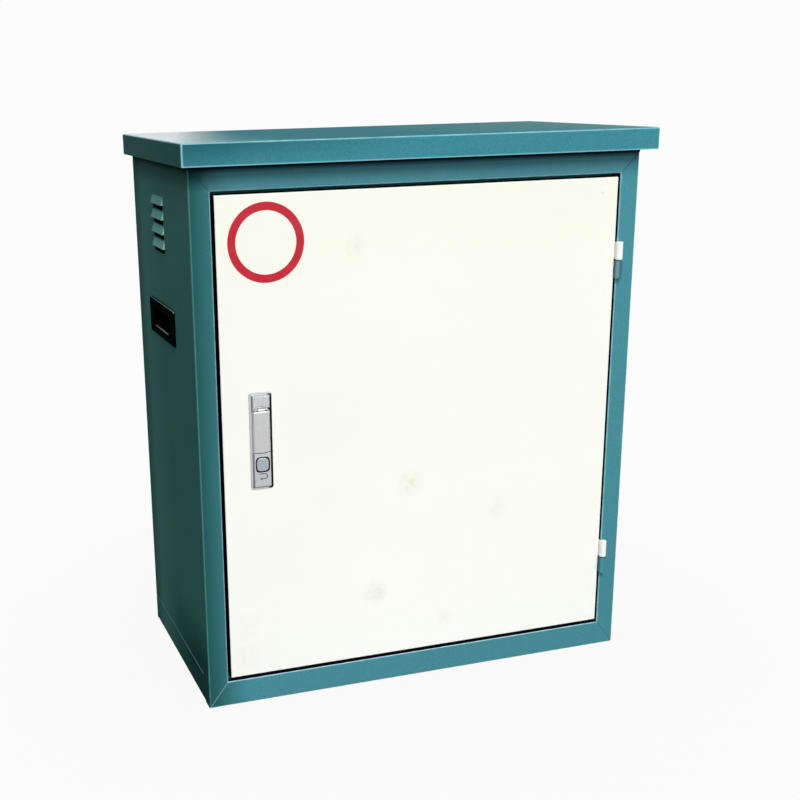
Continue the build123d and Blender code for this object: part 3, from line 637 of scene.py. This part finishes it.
def sill_shadow(graph):
    """A mask of painted shadow on the sill under the door, and on the upper part of the fold before it.
    """
    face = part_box("left_side_panel")[0][1]
    near = graph.span(graph.at("Y"), face + gap_shadow_end, face + gap_shadow_end / 2)
    return graph.times(graph.turned("Z", 1, sill_turn), near)


def mitre_mask(graph):
    """A mask along the ground weld of the lower left mitre."""
    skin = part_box("bottom_pan")[0][0]
    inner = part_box("door_panel")[0]
    run = inner[0] - mitre_gap - skin
    rise = inner[2] - mitre_gap
    across = graph.maths("SUBTRACT", graph.at("X"), skin)
    lean = graph.maths("SUBTRACT", graph.times(across, rise), graph.times(graph.at("Z"), run))
    away = graph.distance(graph.maths("DIVIDE", lean, math.hypot(run, rise)))
    near = graph.span(across, run, run - mitre_half)
    return graph.times(graph.span(away, mitre_half, mitre_fade, 0.0, mitre_share), near)


def corner_highlight(graph):
    """Painted highlight on the folds, duller at the cabinet's left corner."""
    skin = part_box("bottom_pan")[0][0]
    inward = graph.span(graph.at("X"), skin + corner_width, skin + corner_width * 2)
    return graph.mix(inward, teal_corner_highlight, teal_fold_highlight)


def barrel_shading(graph, tone):
    """Greyer patchy coat on the hinge barrel, with painted highlight on its left and painted shade on
    its right.
    """
    grey = graph.mark(handling_grain, detail_some, barrel_grey_shares)
    tone = graph.mix(grey, tone, teal_barrel)
    # Painted shade on the side facing right, painted highlight on the side facing left
    shaded_side = graph.times(graph.turned("X", 1, barrel_shade_turn), barrel_shade_share)
    tone = graph.mix(shaded_side, tone, teal_shade)
    highlight = graph.times(graph.turned("X", -1, barrel_highlight_turn), barrel_highlight_share)
    return graph.mix(highlight, tone, barrel_highlight)


def wall_shading(graph, tone):
    """Greener, darker wall on the left, painted shade low down and along the rear edge, painted light
    towards the back and the top, with the painted shade of the left corner.
    """
    sideways = graph.turned("X", -1, wall_turn)
    # Greener, darker tone on the faces turned left; its darkness is painted shade
    tone = graph.mix(graph.times(sideways, wall_green_share), tone, teal_green)
    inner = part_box("bottom_pan")[0][0] + stile_shade_width
    stile = graph.span(graph.at("X"), inner, inner - stile_shade_width / 2, 0.0, stile_ground_shade_share)
    # Painted shade: darker towards the ground on the wall and the stile
    low_shaded = graph.times(ground_shade(graph), graph.most(sideways, stile))
    tone = graph.mix(low_shaded, tone, teal_shade)
    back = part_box("left_side_panel")[1][1]
    depth = graph.at("Y")
    # Painted light: the wall is lighter towards the back and towards the top
    paler = graph.span(depth, back - rear_light_reach, back, 0.0, rear_light_share)
    tone = graph.mix(graph.times(sideways, paler), tone, teal_lit)
    upper = graph.span(graph.at("Z"), upper_light_low, upper_light_high, 0.0, upper_light_share)
    tone = graph.mix(graph.times(sideways, upper), tone, teal_lit)
    rear = graph.span(depth, back - rear_shade_reach, back, 0.0, rear_shade_share)
    tone = graph.mix(graph.times(sideways, rear), tone, teal_shade)
    return corner_shading(graph, frame_film(graph, tone))


def ground_shade(graph):
    """A mask of painted shade, darker towards the ground and strongest towards the front."""
    low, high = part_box("left_side_panel")
    ahead = graph.span(graph.at("Y"), high[1] - ground_shade_behind, low[1] + ground_shade_ahead, 0.0, ground_shade_share)
    return graph.times(graph.span(graph.at("Z"), ground_shade_height, ground_shade_full), ahead)


def frame_film(graph, tone):
    """Thin grey film of road dust on the front of the frame."""
    return graph.mix(graph.times(graph.turned("Y", -1), film_share), tone, teal_film)


def louver_shading(graph, tone, side):
    """Painted light on the upward slopes of the louvers on one side wall, with a painted highlight on
    their front ends.
    """
    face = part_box("left_side_panel")[0][1]
    depth = graph.at("Y")
    behind = graph.span(depth, face + stile_face_depth / 2, face + stile_face_depth)
    rising = graph.turned("Z", 1, louver_up_turn)
    outward = graph.turned("X", side, louver_out_turn)
    # Painted light on the louvers' upward slopes
    tone = graph.mix(graph.times(rising, outward, behind), tone, teal_lit)
    grip_low, grip_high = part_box("side_grip_left")
    middle = (grip_low[1] + grip_high[1]) / 2
    ahead = graph.span(depth, middle, middle - stile_face_depth)
    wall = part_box("bottom_pan")[1][0]
    raised = graph.span(graph.times(graph.at("X"), side), wall, wall + louver_skin)
    # Painted highlight on the louvers' front ends
    glint = graph.times(graph.turned("Y", -1), behind, ahead, raised)
    return graph.mix(glint, tone, teal_glint)


def left_shading(graph, tone):
    """The left wall and its louvers."""
    return louver_shading(graph, wall_shading(graph, tone), -1)


def right_shading(graph, tone):
    """The right wall: painted shadow under the roof and in the door's gap, painted shade low down, a
    dust film, the dark mitre joint and its louvers.
    """
    # Painted shade: darker towards the ground
    low_shaded = graph.times(ground_shade(graph), graph.turned("X", 1, wall_turn))
    tone = graph.mix(low_shaded, tone, teal_shade)
    tone = upper_joint(graph, frame_film(graph, tone))
    # Painted shadow on the stile's return inside the opening
    tone = graph.mix(gap_shadow(graph, "X"), tone, gap_black)
    return louver_shading(graph, eave_shading(graph, tone), 1)


def roof_shading(graph, tone):
    """Painted shade on the front, top and end, pale dust on top that partly stands in for a painted
    reflection, and painted highlights on the lower hem and the welded corners.
    """
    low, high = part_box("roof_cap")
    across = graph.at("X")
    height = graph.at("Z")
    upward = graph.turned("Z", 1)
    forward = graph.turned("Y", -1)
    # Painted shade: the front, the top and the left end are darkened by the way they face
    tone = graph.mix(graph.times(forward, fascia_dark_share), tone, teal_dark)
    tone = graph.mix(graph.times(upward, roof_dark_share), tone, teal_dark)
    tone = graph.mix(graph.turned("X", -1), tone, teal_end_shade)
    # Painted shade on the upper left of the fascia
    corner = graph.span(across, low[0] + fascia_shade_start, low[0] + fascia_shade_full)
    upper = graph.span(height, low[2], high[2], 0.0, fascia_upper_shade_share)
    tone = graph.mix(graph.times(corner, upper, forward), tone, teal_fascia_shade)
    near = graph.span(across, low[0] + fascia_corner_start, low[0] + fascia_corner_full)
    tone = graph.mix(graph.times(near, forward, fascia_corner_share), tone, teal_fascia_shade)
    # Pale dust towards the left end, partly a painted reflection; the paler right end is painted
    # reflection
    end = graph.span(across, low[0] + dust_reach, low[0])
    drift = graph.mark(smear_grain, detail_high, dust_drift_shares)
    tone = graph.mix(graph.times(upward, end, end, drift), tone, teal_dust_and_sheen)
    far = graph.span(across, 0.0, high[0], 0.0, roof_far_sheen_share)
    tone = graph.mix(graph.times(upward, far), tone, teal_dust_and_sheen)
    # Painted highlight along the fascia's lower edge
    hem = graph.span(height, low[2] + hem_high, low[2] + hem_low)
    tone = graph.mix(graph.times(hem, forward), tone, teal_worn_and_lit)
    # Painted highlight along the roof's welded vertical corners
    left = graph.span(across, low[0] + weld_width, low[0] + weld_fade)
    right = graph.span(across, high[0] - weld_width, high[0] - weld_fade)
    front = graph.span(graph.at("Y"), low[1] + weld_width, low[1] + weld_fade)
    ground = graph.mark(lump_grain, detail_some, weld_ground_shares)
    return graph.mix(graph.times(graph.most(left, right), front, ground), tone, teal_glint)


def roof_polish(graph):
    """A patch of the roof wiped glossy towards its left end, as a clear coat over the paint."""
    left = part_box("roof_cap")[0][0]
    slant = graph.times(graph.at("Y"), roof_wiped_slant_share)
    askew = graph.maths("SUBTRACT", graph.at("X"), slant)
    end = graph.span(askew, left + roof_wiped_start, left + roof_wiped_full)
    graph.put(graph.shader.inputs["Coat Weight"], graph.times(end, end, graph.turned("Z", 1)))
    graph.put(graph.shader.inputs["Coat Roughness"], roof_wiped_roughness)


def door_paint():
    """Off-white powder coat with faint hand marks, yellowed patches, painted light low down, and painted
    shadow on the edges in the gap round it.
    """
    graph = Graph("cream_powder_coat")
    tone = graph.mix(graph.mark(cloud_grain, detail_high, cream_cloud_shares), cream, cream_stain)
    tone = graph.mix(graph.mark(smear_grain, detail_high, cream_smear_shares), tone, cream_stain)
    tone = graph.mix(graph.mark(speck_grain, detail_low, cream_speck_shares), tone, cream_stain)
    height = graph.at("Z")
    tone = graph.mix(graph.span(height, aged_start, aged_full, 0.0, aged_share), tone, cream_stain)
    # Painted light: the coat is lightened low down, standing in for the lamp's fall-off
    tone = graph.mix(graph.span(height, low_light_start, low_light_full, 0.0, low_light_share), tone, cream_lit)
    for smudge in smudges:
        tone = graph.mix(graph.spot(*smudge), tone, cream_smudge)
    # Painted shadow: the edges in the gap are painted near black and lose their specular reflection
    gap = door_gap(graph)
    tone = graph.mix(gap, tone, gap_black)
    specular = graph.shader.inputs["Specular IOR Level"]
    specular.default_value = door_sheen
    graph.put(specular, graph.span(gap, 0.0, 1.0, door_sheen, 0.0))
    gloss = graph.mark(gloss_grain, detail_more, cream_gloss_shares)
    graph.relief(graph.noise(peel_grain, detail_low), cream_peel_share, peel_depth)
    return graph.finish(tone, gloss)


def door_gap(graph):
    """A mask of painted shadow on the door's left, lower and upper edges, which line the gap."""
    low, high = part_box("door_panel")
    height = graph.at("Z")
    left = graph.span(graph.at("X"), low[0] + gap_skin, low[0] + gap_skin / 2)
    foot = graph.span(height, low[2] + gap_skin, low[2] + gap_skin / 2)
    head = graph.span(height, high[2] - gap_skin, high[2] - gap_skin / 2)
    return graph.most(left, foot, head)


def knuckle_paint():
    """Off-white coat on the door's hinge knuckles, a brighter cream than the door as painted light,
    patchy with stain and a few specks.
    """
    graph = Graph("cream_knuckle_coat")
    patchy = graph.mark(handling_grain, detail_more, knuckle_patch_shares)
    # Painted light: the knuckles take a brighter cream than the door
    tone = graph.mix(patchy, cream_lit, cream_stain)
    tone = graph.mix(graph.mark(speck_grain, detail_low, cream_speck_shares), tone, cream_stain)
    gloss = graph.mark(patch_grain, detail_more, knuckle_gloss_shares)
    graph.relief(graph.noise(peel_grain, detail_low), cream_peel_share, peel_depth)
    return graph.finish(tone, gloss, Specular_IOR_Level=door_sheen)


def grip_plastic():
    """Black moulded plastic with a fine spark-eroded grain, with painted highlights on its top edge and
    its mouth.
    """
    graph = Graph("black_moulded_plastic")
    tone = graph.mix(graph.noise(mould_grain, detail_more), plastic_black, plastic_grey)
    low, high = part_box("side_grip_left")
    outer = -low[0]
    edge = graph.span(graph.distance(graph.at("X")), outer - mouth_line * 2, outer - mouth_line)
    top = graph.span(graph.at("Z"), high[2] - mouth_fade, high[2] - mouth_fade / 2)
    patchy = graph.noise(handling_grain, detail_some)
    # Painted highlight on the grip's top outer edge
    upper = graph.turned("Z", 1, grip_turn)
    highlight = graph.times(graph.fold(), upper, patchy, edge, top, grip_highlight_share)
    tone = graph.mix(highlight, tone, plastic_highlight)
    # Painted highlight along the mouth's lower edge
    tone = graph.mix(mouth_mask(graph), tone, plastic_highlight)
    gloss = graph.mark(lump_grain, detail_some, plastic_gloss_shares)
    graph.relief(graph.noise(spark_grain, detail_low), plastic_grain_share, spark_depth)
    return graph.finish(tone, gloss, Specular_IOR_Level=grip_sheen)


def mouth_mask(graph):
    """A mask of painted highlight along the lower edge of the grip's mouth."""
    low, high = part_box("side_grip_left")
    outer = -low[0]
    line = graph.span(graph.distance(graph.at("Z"), low[2] + mouth_height), mouth_line, mouth_line / 2)
    along = graph.distance(graph.at("Y"), (low[1] + high[1]) / 2)
    length = graph.span(along, mouth_half, mouth_half - mouth_fade)
    skin = graph.span(graph.distance(graph.at("X")), outer - mouth_line, outer - mouth_line / 2)
    patchy = graph.mark(handling_grain, detail_some, mouth_patch_shares)
    return graph.times(line, length, skin, patchy)


def zinc_plate():
    """Bright zinc plating with a spangle and dull handling marks."""
    graph = Graph("zinc_plated_steel")
    tone = graph.mix(graph.times(graph.cells(spangle_grain), spangle_share), zinc_grey, zinc_pale)
    tone = graph.mix(graph.mark(dull_grain, detail_high, zinc_dull_shares), tone, zinc_dull)
    gloss = graph.mark(patch_grain, detail_more, zinc_gloss_shares)
    graph.relief(graph.noise(peel_grain, detail_some), zinc_peel_share, spark_depth)
    return graph.finish(tone, gloss, Metallic=1.0)


def lock_metal(name, pale, shading=None):
    """Satin-chromed casting with fine upright brushing and a painted highlight on its sharp edges."""
    graph = Graph(name)
    brushed = graph.noise(peel_grain, detail_some, graph.stretched(brush_stretch_shares))
    tone = graph.mix(graph.span(brushed, *chrome_brush_shares), pale, chrome_grime)
    grime = graph.mark(handling_grain, detail_high, chrome_grime_shares)
    tone = graph.mix(grime, tone, chrome_grime)
    # Painted highlight on the casting's sharp edges
    tone = graph.mix(graph.times(graph.edge(casting_edge), casting_edge_share), tone, chrome_highlight)
    if shading:
        tone = shading(graph, tone)
    gloss = graph.span(brushed, *chrome_gloss_shares)
    graph.relief(brushed, brush_share, brush_depth)
    return graph.finish(tone, gloss, Metallic=chrome_metal_share)


def lever_shading(graph, tone):
    """Painted highlight across the lever's upper end."""
    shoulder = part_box("lock_lever")[1][2] - lever_shoulder
    height = graph.at("Z")
    low = shoulder - lever_line_width
    start = graph.span(height, low, low + lever_line_fade)
    end = graph.span(height, shoulder + lever_line_fade, shoulder)
    line = graph.times(start, end, graph.turned("Y", -1, lever_turn))
    # Painted highlight where the lever's pivot end catches the light
    return graph.mix(line, tone, chrome_highlight)


def recess_shading(graph, tone):
    """Painted shade beside and below the raised face, in its recess and round its button, and on its
    slopes facing left.
    """
    low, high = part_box("lock_housing")
    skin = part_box("door_panel")[0][1]
    across = graph.at("X")
    depth = graph.at("Y")
    height = graph.at("Z")
    # Painted shade on the slopes facing left
    slope = graph.times(graph.turned("X", -1, recess_turn), recess_shade_share)
    tone = graph.mix(slope, tone, chrome_shade)
    right = graph.times(
        graph.span(across, high[0] - side_shade_width * 2, high[0] - side_shade_width),
        graph.span(height, high[2] - foot_clean_height, high[2] - foot_clean_height * 2),
    )
    foot = graph.times(
        graph.span(height, low[2] + foot_shade_height * 2, low[2] + foot_shade_height),
        graph.span(height, low[2] + foot_clean_height, low[2] + foot_clean_height * 2),
        graph.span(across, low[0] + foot_clean_height, low[0] + side_shade_width),
    )
    # Painted shade beside and below the raised face, at its foot and round the button
    beside = graph.span(depth, skin - side_shade_top, skin - side_shade_full)
    shaded_band = graph.times(beside, graph.most(right, foot))
    deep = graph.span(depth, skin - deep_shade_top, skin - deep_shade_full)
    return graph.mix(graph.most(shaded_band, deep, button_shade(graph)), tone, recess_shadow)


def button_shade(graph):
    """A mask of painted shade round the rounded square of the button."""
    low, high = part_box("lock_button")
    powers = []
    for axis, index in (("X", 0), ("Z", 2)):
        middle = (low[index] + high[index]) / 2
        half = (high[index] - low[index]) / 2 + button_shade_width
        share = graph.maths("DIVIDE", graph.distance(graph.at(axis), middle), half)
        powers.append(graph.maths("POWER", share, squareness))
    reach = graph.maths("POWER", graph.maths("ADD", *powers), 1 / squareness)
    return graph.span(reach, 1.0 + button_fade_share, 1.0)


def seal_rubber():
    """Foamed black seal with open pores."""
    graph = Graph("foamed_seal")
    pores = graph.noise(pore_grain, detail_more)
    tone = graph.mix(pores, rubber_black, rubber_grey)
    gloss = graph.span(pores, *rubber_gloss_shares)
    graph.relief(pores, pore_share, pore_depth)
    return graph.finish(tone, gloss, Specular_IOR_Level=rubber_sheen)


def hinge_brass():
    """Turned brass, tarnished dark by dirt and old grease."""
    graph = Graph("turned_brass")
    tarnish = graph.noise(handling_grain, detail_high)
    tone = graph.mix(graph.span(tarnish, *brass_tarnish_shares), brass_tarnished, brass_dark)
    gloss = graph.span(tarnish, *brass_gloss_shares)
    graph.relief(graph.noise(peel_grain, detail_low), brass_peel_share, brush_depth)
    return graph.finish(tone, gloss, Metallic=1.0)


def sign_ink():
    """Screen-printed red with a little fading and fine pinholes."""
    graph = Graph("printed_red")
    paler = graph.mark(fade_grain, detail_more, ink_fade_shares)
    tone = graph.mix(paler, sign_red, sign_red_faded)
    tone = graph.mix(graph.mark(spark_grain, detail_low, ink_pinhole_shares), tone, cream_stain)
    gloss = graph.span(paler, *ink_gloss_shares)
    graph.relief(graph.noise(peel_grain, detail_low), ink_peel_share, spark_depth)
    return graph.finish(tone, gloss, Specular_IOR_Level=ink_sheen)


def sealer():
    """Painted sealer bead, a little paler than the coat around it, its paleness a painted highlight
    along the seam.
    """
    graph = Graph("seam_sealer")
    lumps = graph.noise(lump_grain, detail_some)
    tone = graph.mix(lumps, sealer_dark, sealer_pale)
    gloss = graph.span(lumps, *sealer_gloss_shares)
    graph.relief(lumps, sealer_lump_share, peel_depth)
    return graph.finish(tone, gloss, Specular_IOR_Level=roof_sheen)


def mesh_piece(name, shape, body, material):
    """Make an object from a filled mesh builder and hang it on a body."""
    bmesh.ops.recalc_face_normals(shape, faces=shape.faces)
    mesh = bpy.data.meshes.new(name)
    shape.to_mesh(mesh)
    shape.free()
    piece = bpy.data.objects.new(name, mesh)
    bpy.context.scene.collection.objects.link(piece)
    mesh.materials.append(material)
    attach(piece, body)


def circle_loop(shape, radius, level):
    """A loop of vertices round the printed ring's centre."""
    loop = []
    for step in range(ring_steps):
        turn = math.tau * step / ring_steps
        across = ring_centre[0] + radius * math.cos(turn)
        up = ring_centre[1] + radius * math.sin(turn)
        loop.append(shape.verts.new((across, level, up)))
    return loop


def close_between(shape, first, second):
    """A closed band of faces between two loops."""
    for step in range(len(first)):
        after = (step + 1) % len(first)
        shape.faces.new((first[step], first[after], second[after], second[step]))


def printed_ring(material):
    """The plain red ring printed on the door, as a closed thin annulus."""
    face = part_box("door_panel")[0][1]
    ring_inner = ring_outer - ring_width
    shape = bmesh.new()
    outer_front = circle_loop(shape, ring_outer, face - print_thickness)
    outer_back = circle_loop(shape, ring_outer, face)
    inner_back = circle_loop(shape, ring_inner, face)
    inner_front = circle_loop(shape, ring_inner, face - print_thickness)
    loops = [outer_front, outer_back, inner_back, inner_front, outer_front]
    for first, second in zip(loops, loops[1:]):
        close_between(shape, first, second)
    mesh_piece("door_printed_ring", shape, "door", material)


def seam_bead(name, side, material):
    """A half-round sealer bead on the pan's upper seam, on one side of the cabinet."""
    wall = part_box("bottom_pan")[1][0] * side
    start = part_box("left_side_panel")[0][1] + seam_setback + bead_inset
    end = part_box("left_side_panel")[1][1] - bead_inset
    shape = bmesh.new()
    rings = []
    for step in range(bead_steps + 1):
        depth = start + (end - start) * step / bead_steps
        ring = []
        for index in range(bead_sides):
            turn = math.pi * index / (bead_sides - 1)
            out = wall + side * bead_radius * math.sin(turn)
            ring.append(shape.verts.new((out, depth, seam_height + bead_radius * math.cos(turn))))
        rings.append(ring)
    for first, second in zip(rings, rings[1:]):
        close_between(shape, first, second)
    shape.faces.new(rings[0])
    shape.faces.new(rings[-1])
    mesh_piece(name, shape, "cabinet", material)


def mark_line():
    """Middle line of the turn arrow's stroke, and its direction of width, across and up."""
    line = [(-mark_reach, mark_radius, 0.0, 1.0)]
    for step in range(mark_steps + 1):
        turn = math.pi / 2 - math.pi * step / mark_steps
        across = mark_turn_place + mark_radius * math.cos(turn)
        line.append((across, mark_radius * math.sin(turn), math.cos(turn), math.sin(turn)))
    line.append((mark_head_place, -mark_radius, 0.0, -1.0))
    return line


def turn_mark(material):
    """The raised turn arrow cast on the lock below its button."""
    low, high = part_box("lock_button")
    middle = (low[0] + high[0]) / 2
    centre = (low[2] + high[2]) / 2 - mark_drop
    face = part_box("lock_housing")[0][1]
    half = mark_width / 2
    shape = bmesh.new()

    def point(across, up):
        return shape.verts.new((middle + across, face - mark_height, centre + up))

    rows = []
    for across, up, wide, tall in mark_line():
        inner = point(across - half * wide, up - half * tall)
        outer = point(across + half * wide, up + half * tall)
        rows.append((inner, outer))
    faces = [shape.faces.new((a, b, d, c)) for (a, b), (c, d) in zip(rows, rows[1:])]
    head = (
        point(mark_head_place, -mark_radius + mark_head_half),
        point(mark_head_place, -mark_radius - mark_head_half),
        point(mark_head_place - mark_head_length, -mark_radius),
    )
    faces.append(shape.faces.new(head))
    sides = bmesh.ops.extrude_face_region(shape, geom=faces)
    moved = [item for item in sides["geom"] if isinstance(item, bmesh.types.BMVert)]
    bmesh.ops.translate(shape, verts=moved, vec=(0.0, mark_height, 0.0))
    mesh_piece("lock_turn_mark", shape, "door", material)


def dress_nodes(finishes, own):
    """Give every CAD node its finish."""
    for entry in frame["record"]["subparts"]:
        node = frame["nodes"][entry["node"]]
        node.data.materials.clear()
        node.data.materials.append(own.get(entry["node"], finishes[entry["material_slot"]]))


def area_lamp(name, place, size, power):
    """A square soft lamp aimed at the cabinet."""
    lamp = bpy.data.lights.new(name, "AREA")
    lamp.size = size
    lamp.energy = power
    holder = bpy.data.objects.new(name, lamp)
    bpy.context.scene.collection.objects.link(holder)
    holder.location = place
    holder.rotation_euler = (Vector(lamp_aim) - Vector(place)).to_track_quat("-Z", "Y").to_euler()


def white_background(tree, lit, lit_share):
    """Plain white to the eye and in reflections, but for a share of the surface's own light."""
    path = tree.nodes.new("ShaderNodeLightPath")
    seen = path.outputs["Is Camera Ray"]
    for name in ("Is Glossy Ray", "Is Transmission Ray"):
        seen = arithmetic(tree, "MAXIMUM", seen, path.outputs[name])
    whiteness = arithmetic(tree, "SUBTRACT", 1.0, lit_share)
    glow = tree.nodes.new("ShaderNodeEmission")
    glow.inputs["Color"].default_value = colour(white)
    blend = tree.nodes.new("ShaderNodeMixShader")
    tree.links.new(arithmetic(tree, "MULTIPLY", seen, whiteness), blend.inputs["Fac"])
    tree.links.new(lit, blend.inputs[1])
    tree.links.new(glow.outputs["Emission"], blend.inputs[2])
    return blend.outputs["Shader"]


def floor():
    """A plain pale floor that keeps a trace of the cabinet's shadow."""
    shape = bmesh.new()
    corners = ((-1, -1), (1, -1), (1, 1), (-1, 1))
    shape.faces.new([shape.verts.new((x * floor_half, y * floor_half, 0.0)) for x, y in corners])
    mesh = bpy.data.meshes.new("floor")
    shape.to_mesh(mesh)
    shape.free()
    plane = bpy.data.objects.new("floor", mesh)
    bpy.context.scene.collection.objects.link(plane)
    graph = Graph("pale_floor")
    graph.finish(colour(floor_paint), floor_roughness)
    reach = graph.vectors("LENGTH", graph.place).outputs["Value"]
    trace = graph.span(reach, floor_shadow_near, floor_shadow_far, floor_shadow_share, 0.0)
    surface = white_background(graph.tree, graph.shader.outputs["BSDF"], trace)
    graph.tree.links.new(surface, graph.tree.nodes["Material Output"].inputs["Surface"])
    mesh.materials.append(graph.material)


def surroundings():
    """White to the eye and in reflections, and a soft even light elsewhere."""
    world = bpy.data.worlds.new("studio")
    bpy.context.scene.world = world
    world.use_nodes = True
    tree = world.node_tree
    sky = tree.nodes["Background"]
    sky.inputs["Color"].default_value = colour(sky_tone)
    sky.inputs["Strength"].default_value = sky_level
    surface = white_background(tree, sky.outputs["Background"], 0.0)
    tree.links.new(surface, tree.nodes["World Output"].inputs["Surface"])


def camera():
    """The photograph's viewpoint."""
    lens = bpy.data.cameras.new("camera")
    lens.lens = camera_lens_mm
    lens.shift_x, lens.shift_y = camera_shift
    holder = bpy.data.objects.new("camera", lens)
    bpy.context.scene.collection.objects.link(holder)
    holder.location = camera_place
    level = (Vector(camera_aim) - Vector(camera_place)).to_track_quat("-Z", "Y").to_matrix()
    rolled = level @ Matrix.Rotation(math.radians(-camera_roll_deg), 3, "Z")
    holder.rotation_euler = rolled.to_euler()
    bpy.context.scene.camera = holder


casting = lock_metal("satin_chrome", chrome)
barrel = paint("teal_powder_coat_barrel", barrel_shading, highlight_share=barrel_fold_highlight_share)
clean_coat = knuckle_paint()
finishes = {
    "teal_paint": paint("teal_powder_coat"),
    "cream_paint": door_paint(),
    "black_plastic": grip_plastic(),
    "zinc_steel": zinc_plate(),
    "lock_metal": casting,
    "seal_rubber": seal_rubber(),
    "hinge_brass": hinge_brass(),
}
own = {
    "left_side_panel": paint("teal_powder_coat_left", left_shading, highlight_tone=corner_highlight),
    "right_side_panel": paint("teal_powder_coat_right", right_shading),
    "bottom_pan": paint("teal_powder_coat_pan", pan_shading, highlight_tone=pan_fold_light),
    "roof_cap": paint("teal_powder_coat_roof", roof_shading, roof_sheen, coat=roof_polish),
    "hinge_frame_knuckle_upper": barrel,
    "hinge_frame_knuckle_lower": paint("teal_powder_coat_low_barrel", frame_film, highlight_share=barrel_fold_highlight_share),
    "hinge_door_knuckle_upper": clean_coat,
    "hinge_door_knuckle_lower": clean_coat,
    "top_panel": paint("teal_powder_coat_top", top_shading),
    "lock_lever": lock_metal("lever_chrome", chrome, lever_shading),
    "lock_button": lock_metal("button_chrome", button_chrome),
    "lock_housing": lock_metal("satin_chrome_shaded", housing_chrome, recess_shading),
}
dress_nodes(finishes, own)
printed_ring(sign_ink())
bead_finish = sealer()
seam_bead("seam_bead_left", -1, bead_finish)
seam_bead("seam_bead_right", 1, bead_finish)
turn_mark(lock_metal("mark_chrome", mark_chrome))
floor()
surroundings()
for name, lamp in lamps.items():
    area_lamp(name, **lamp)
camera()
bpy.context.scene.view_settings.view_transform = "Standard"
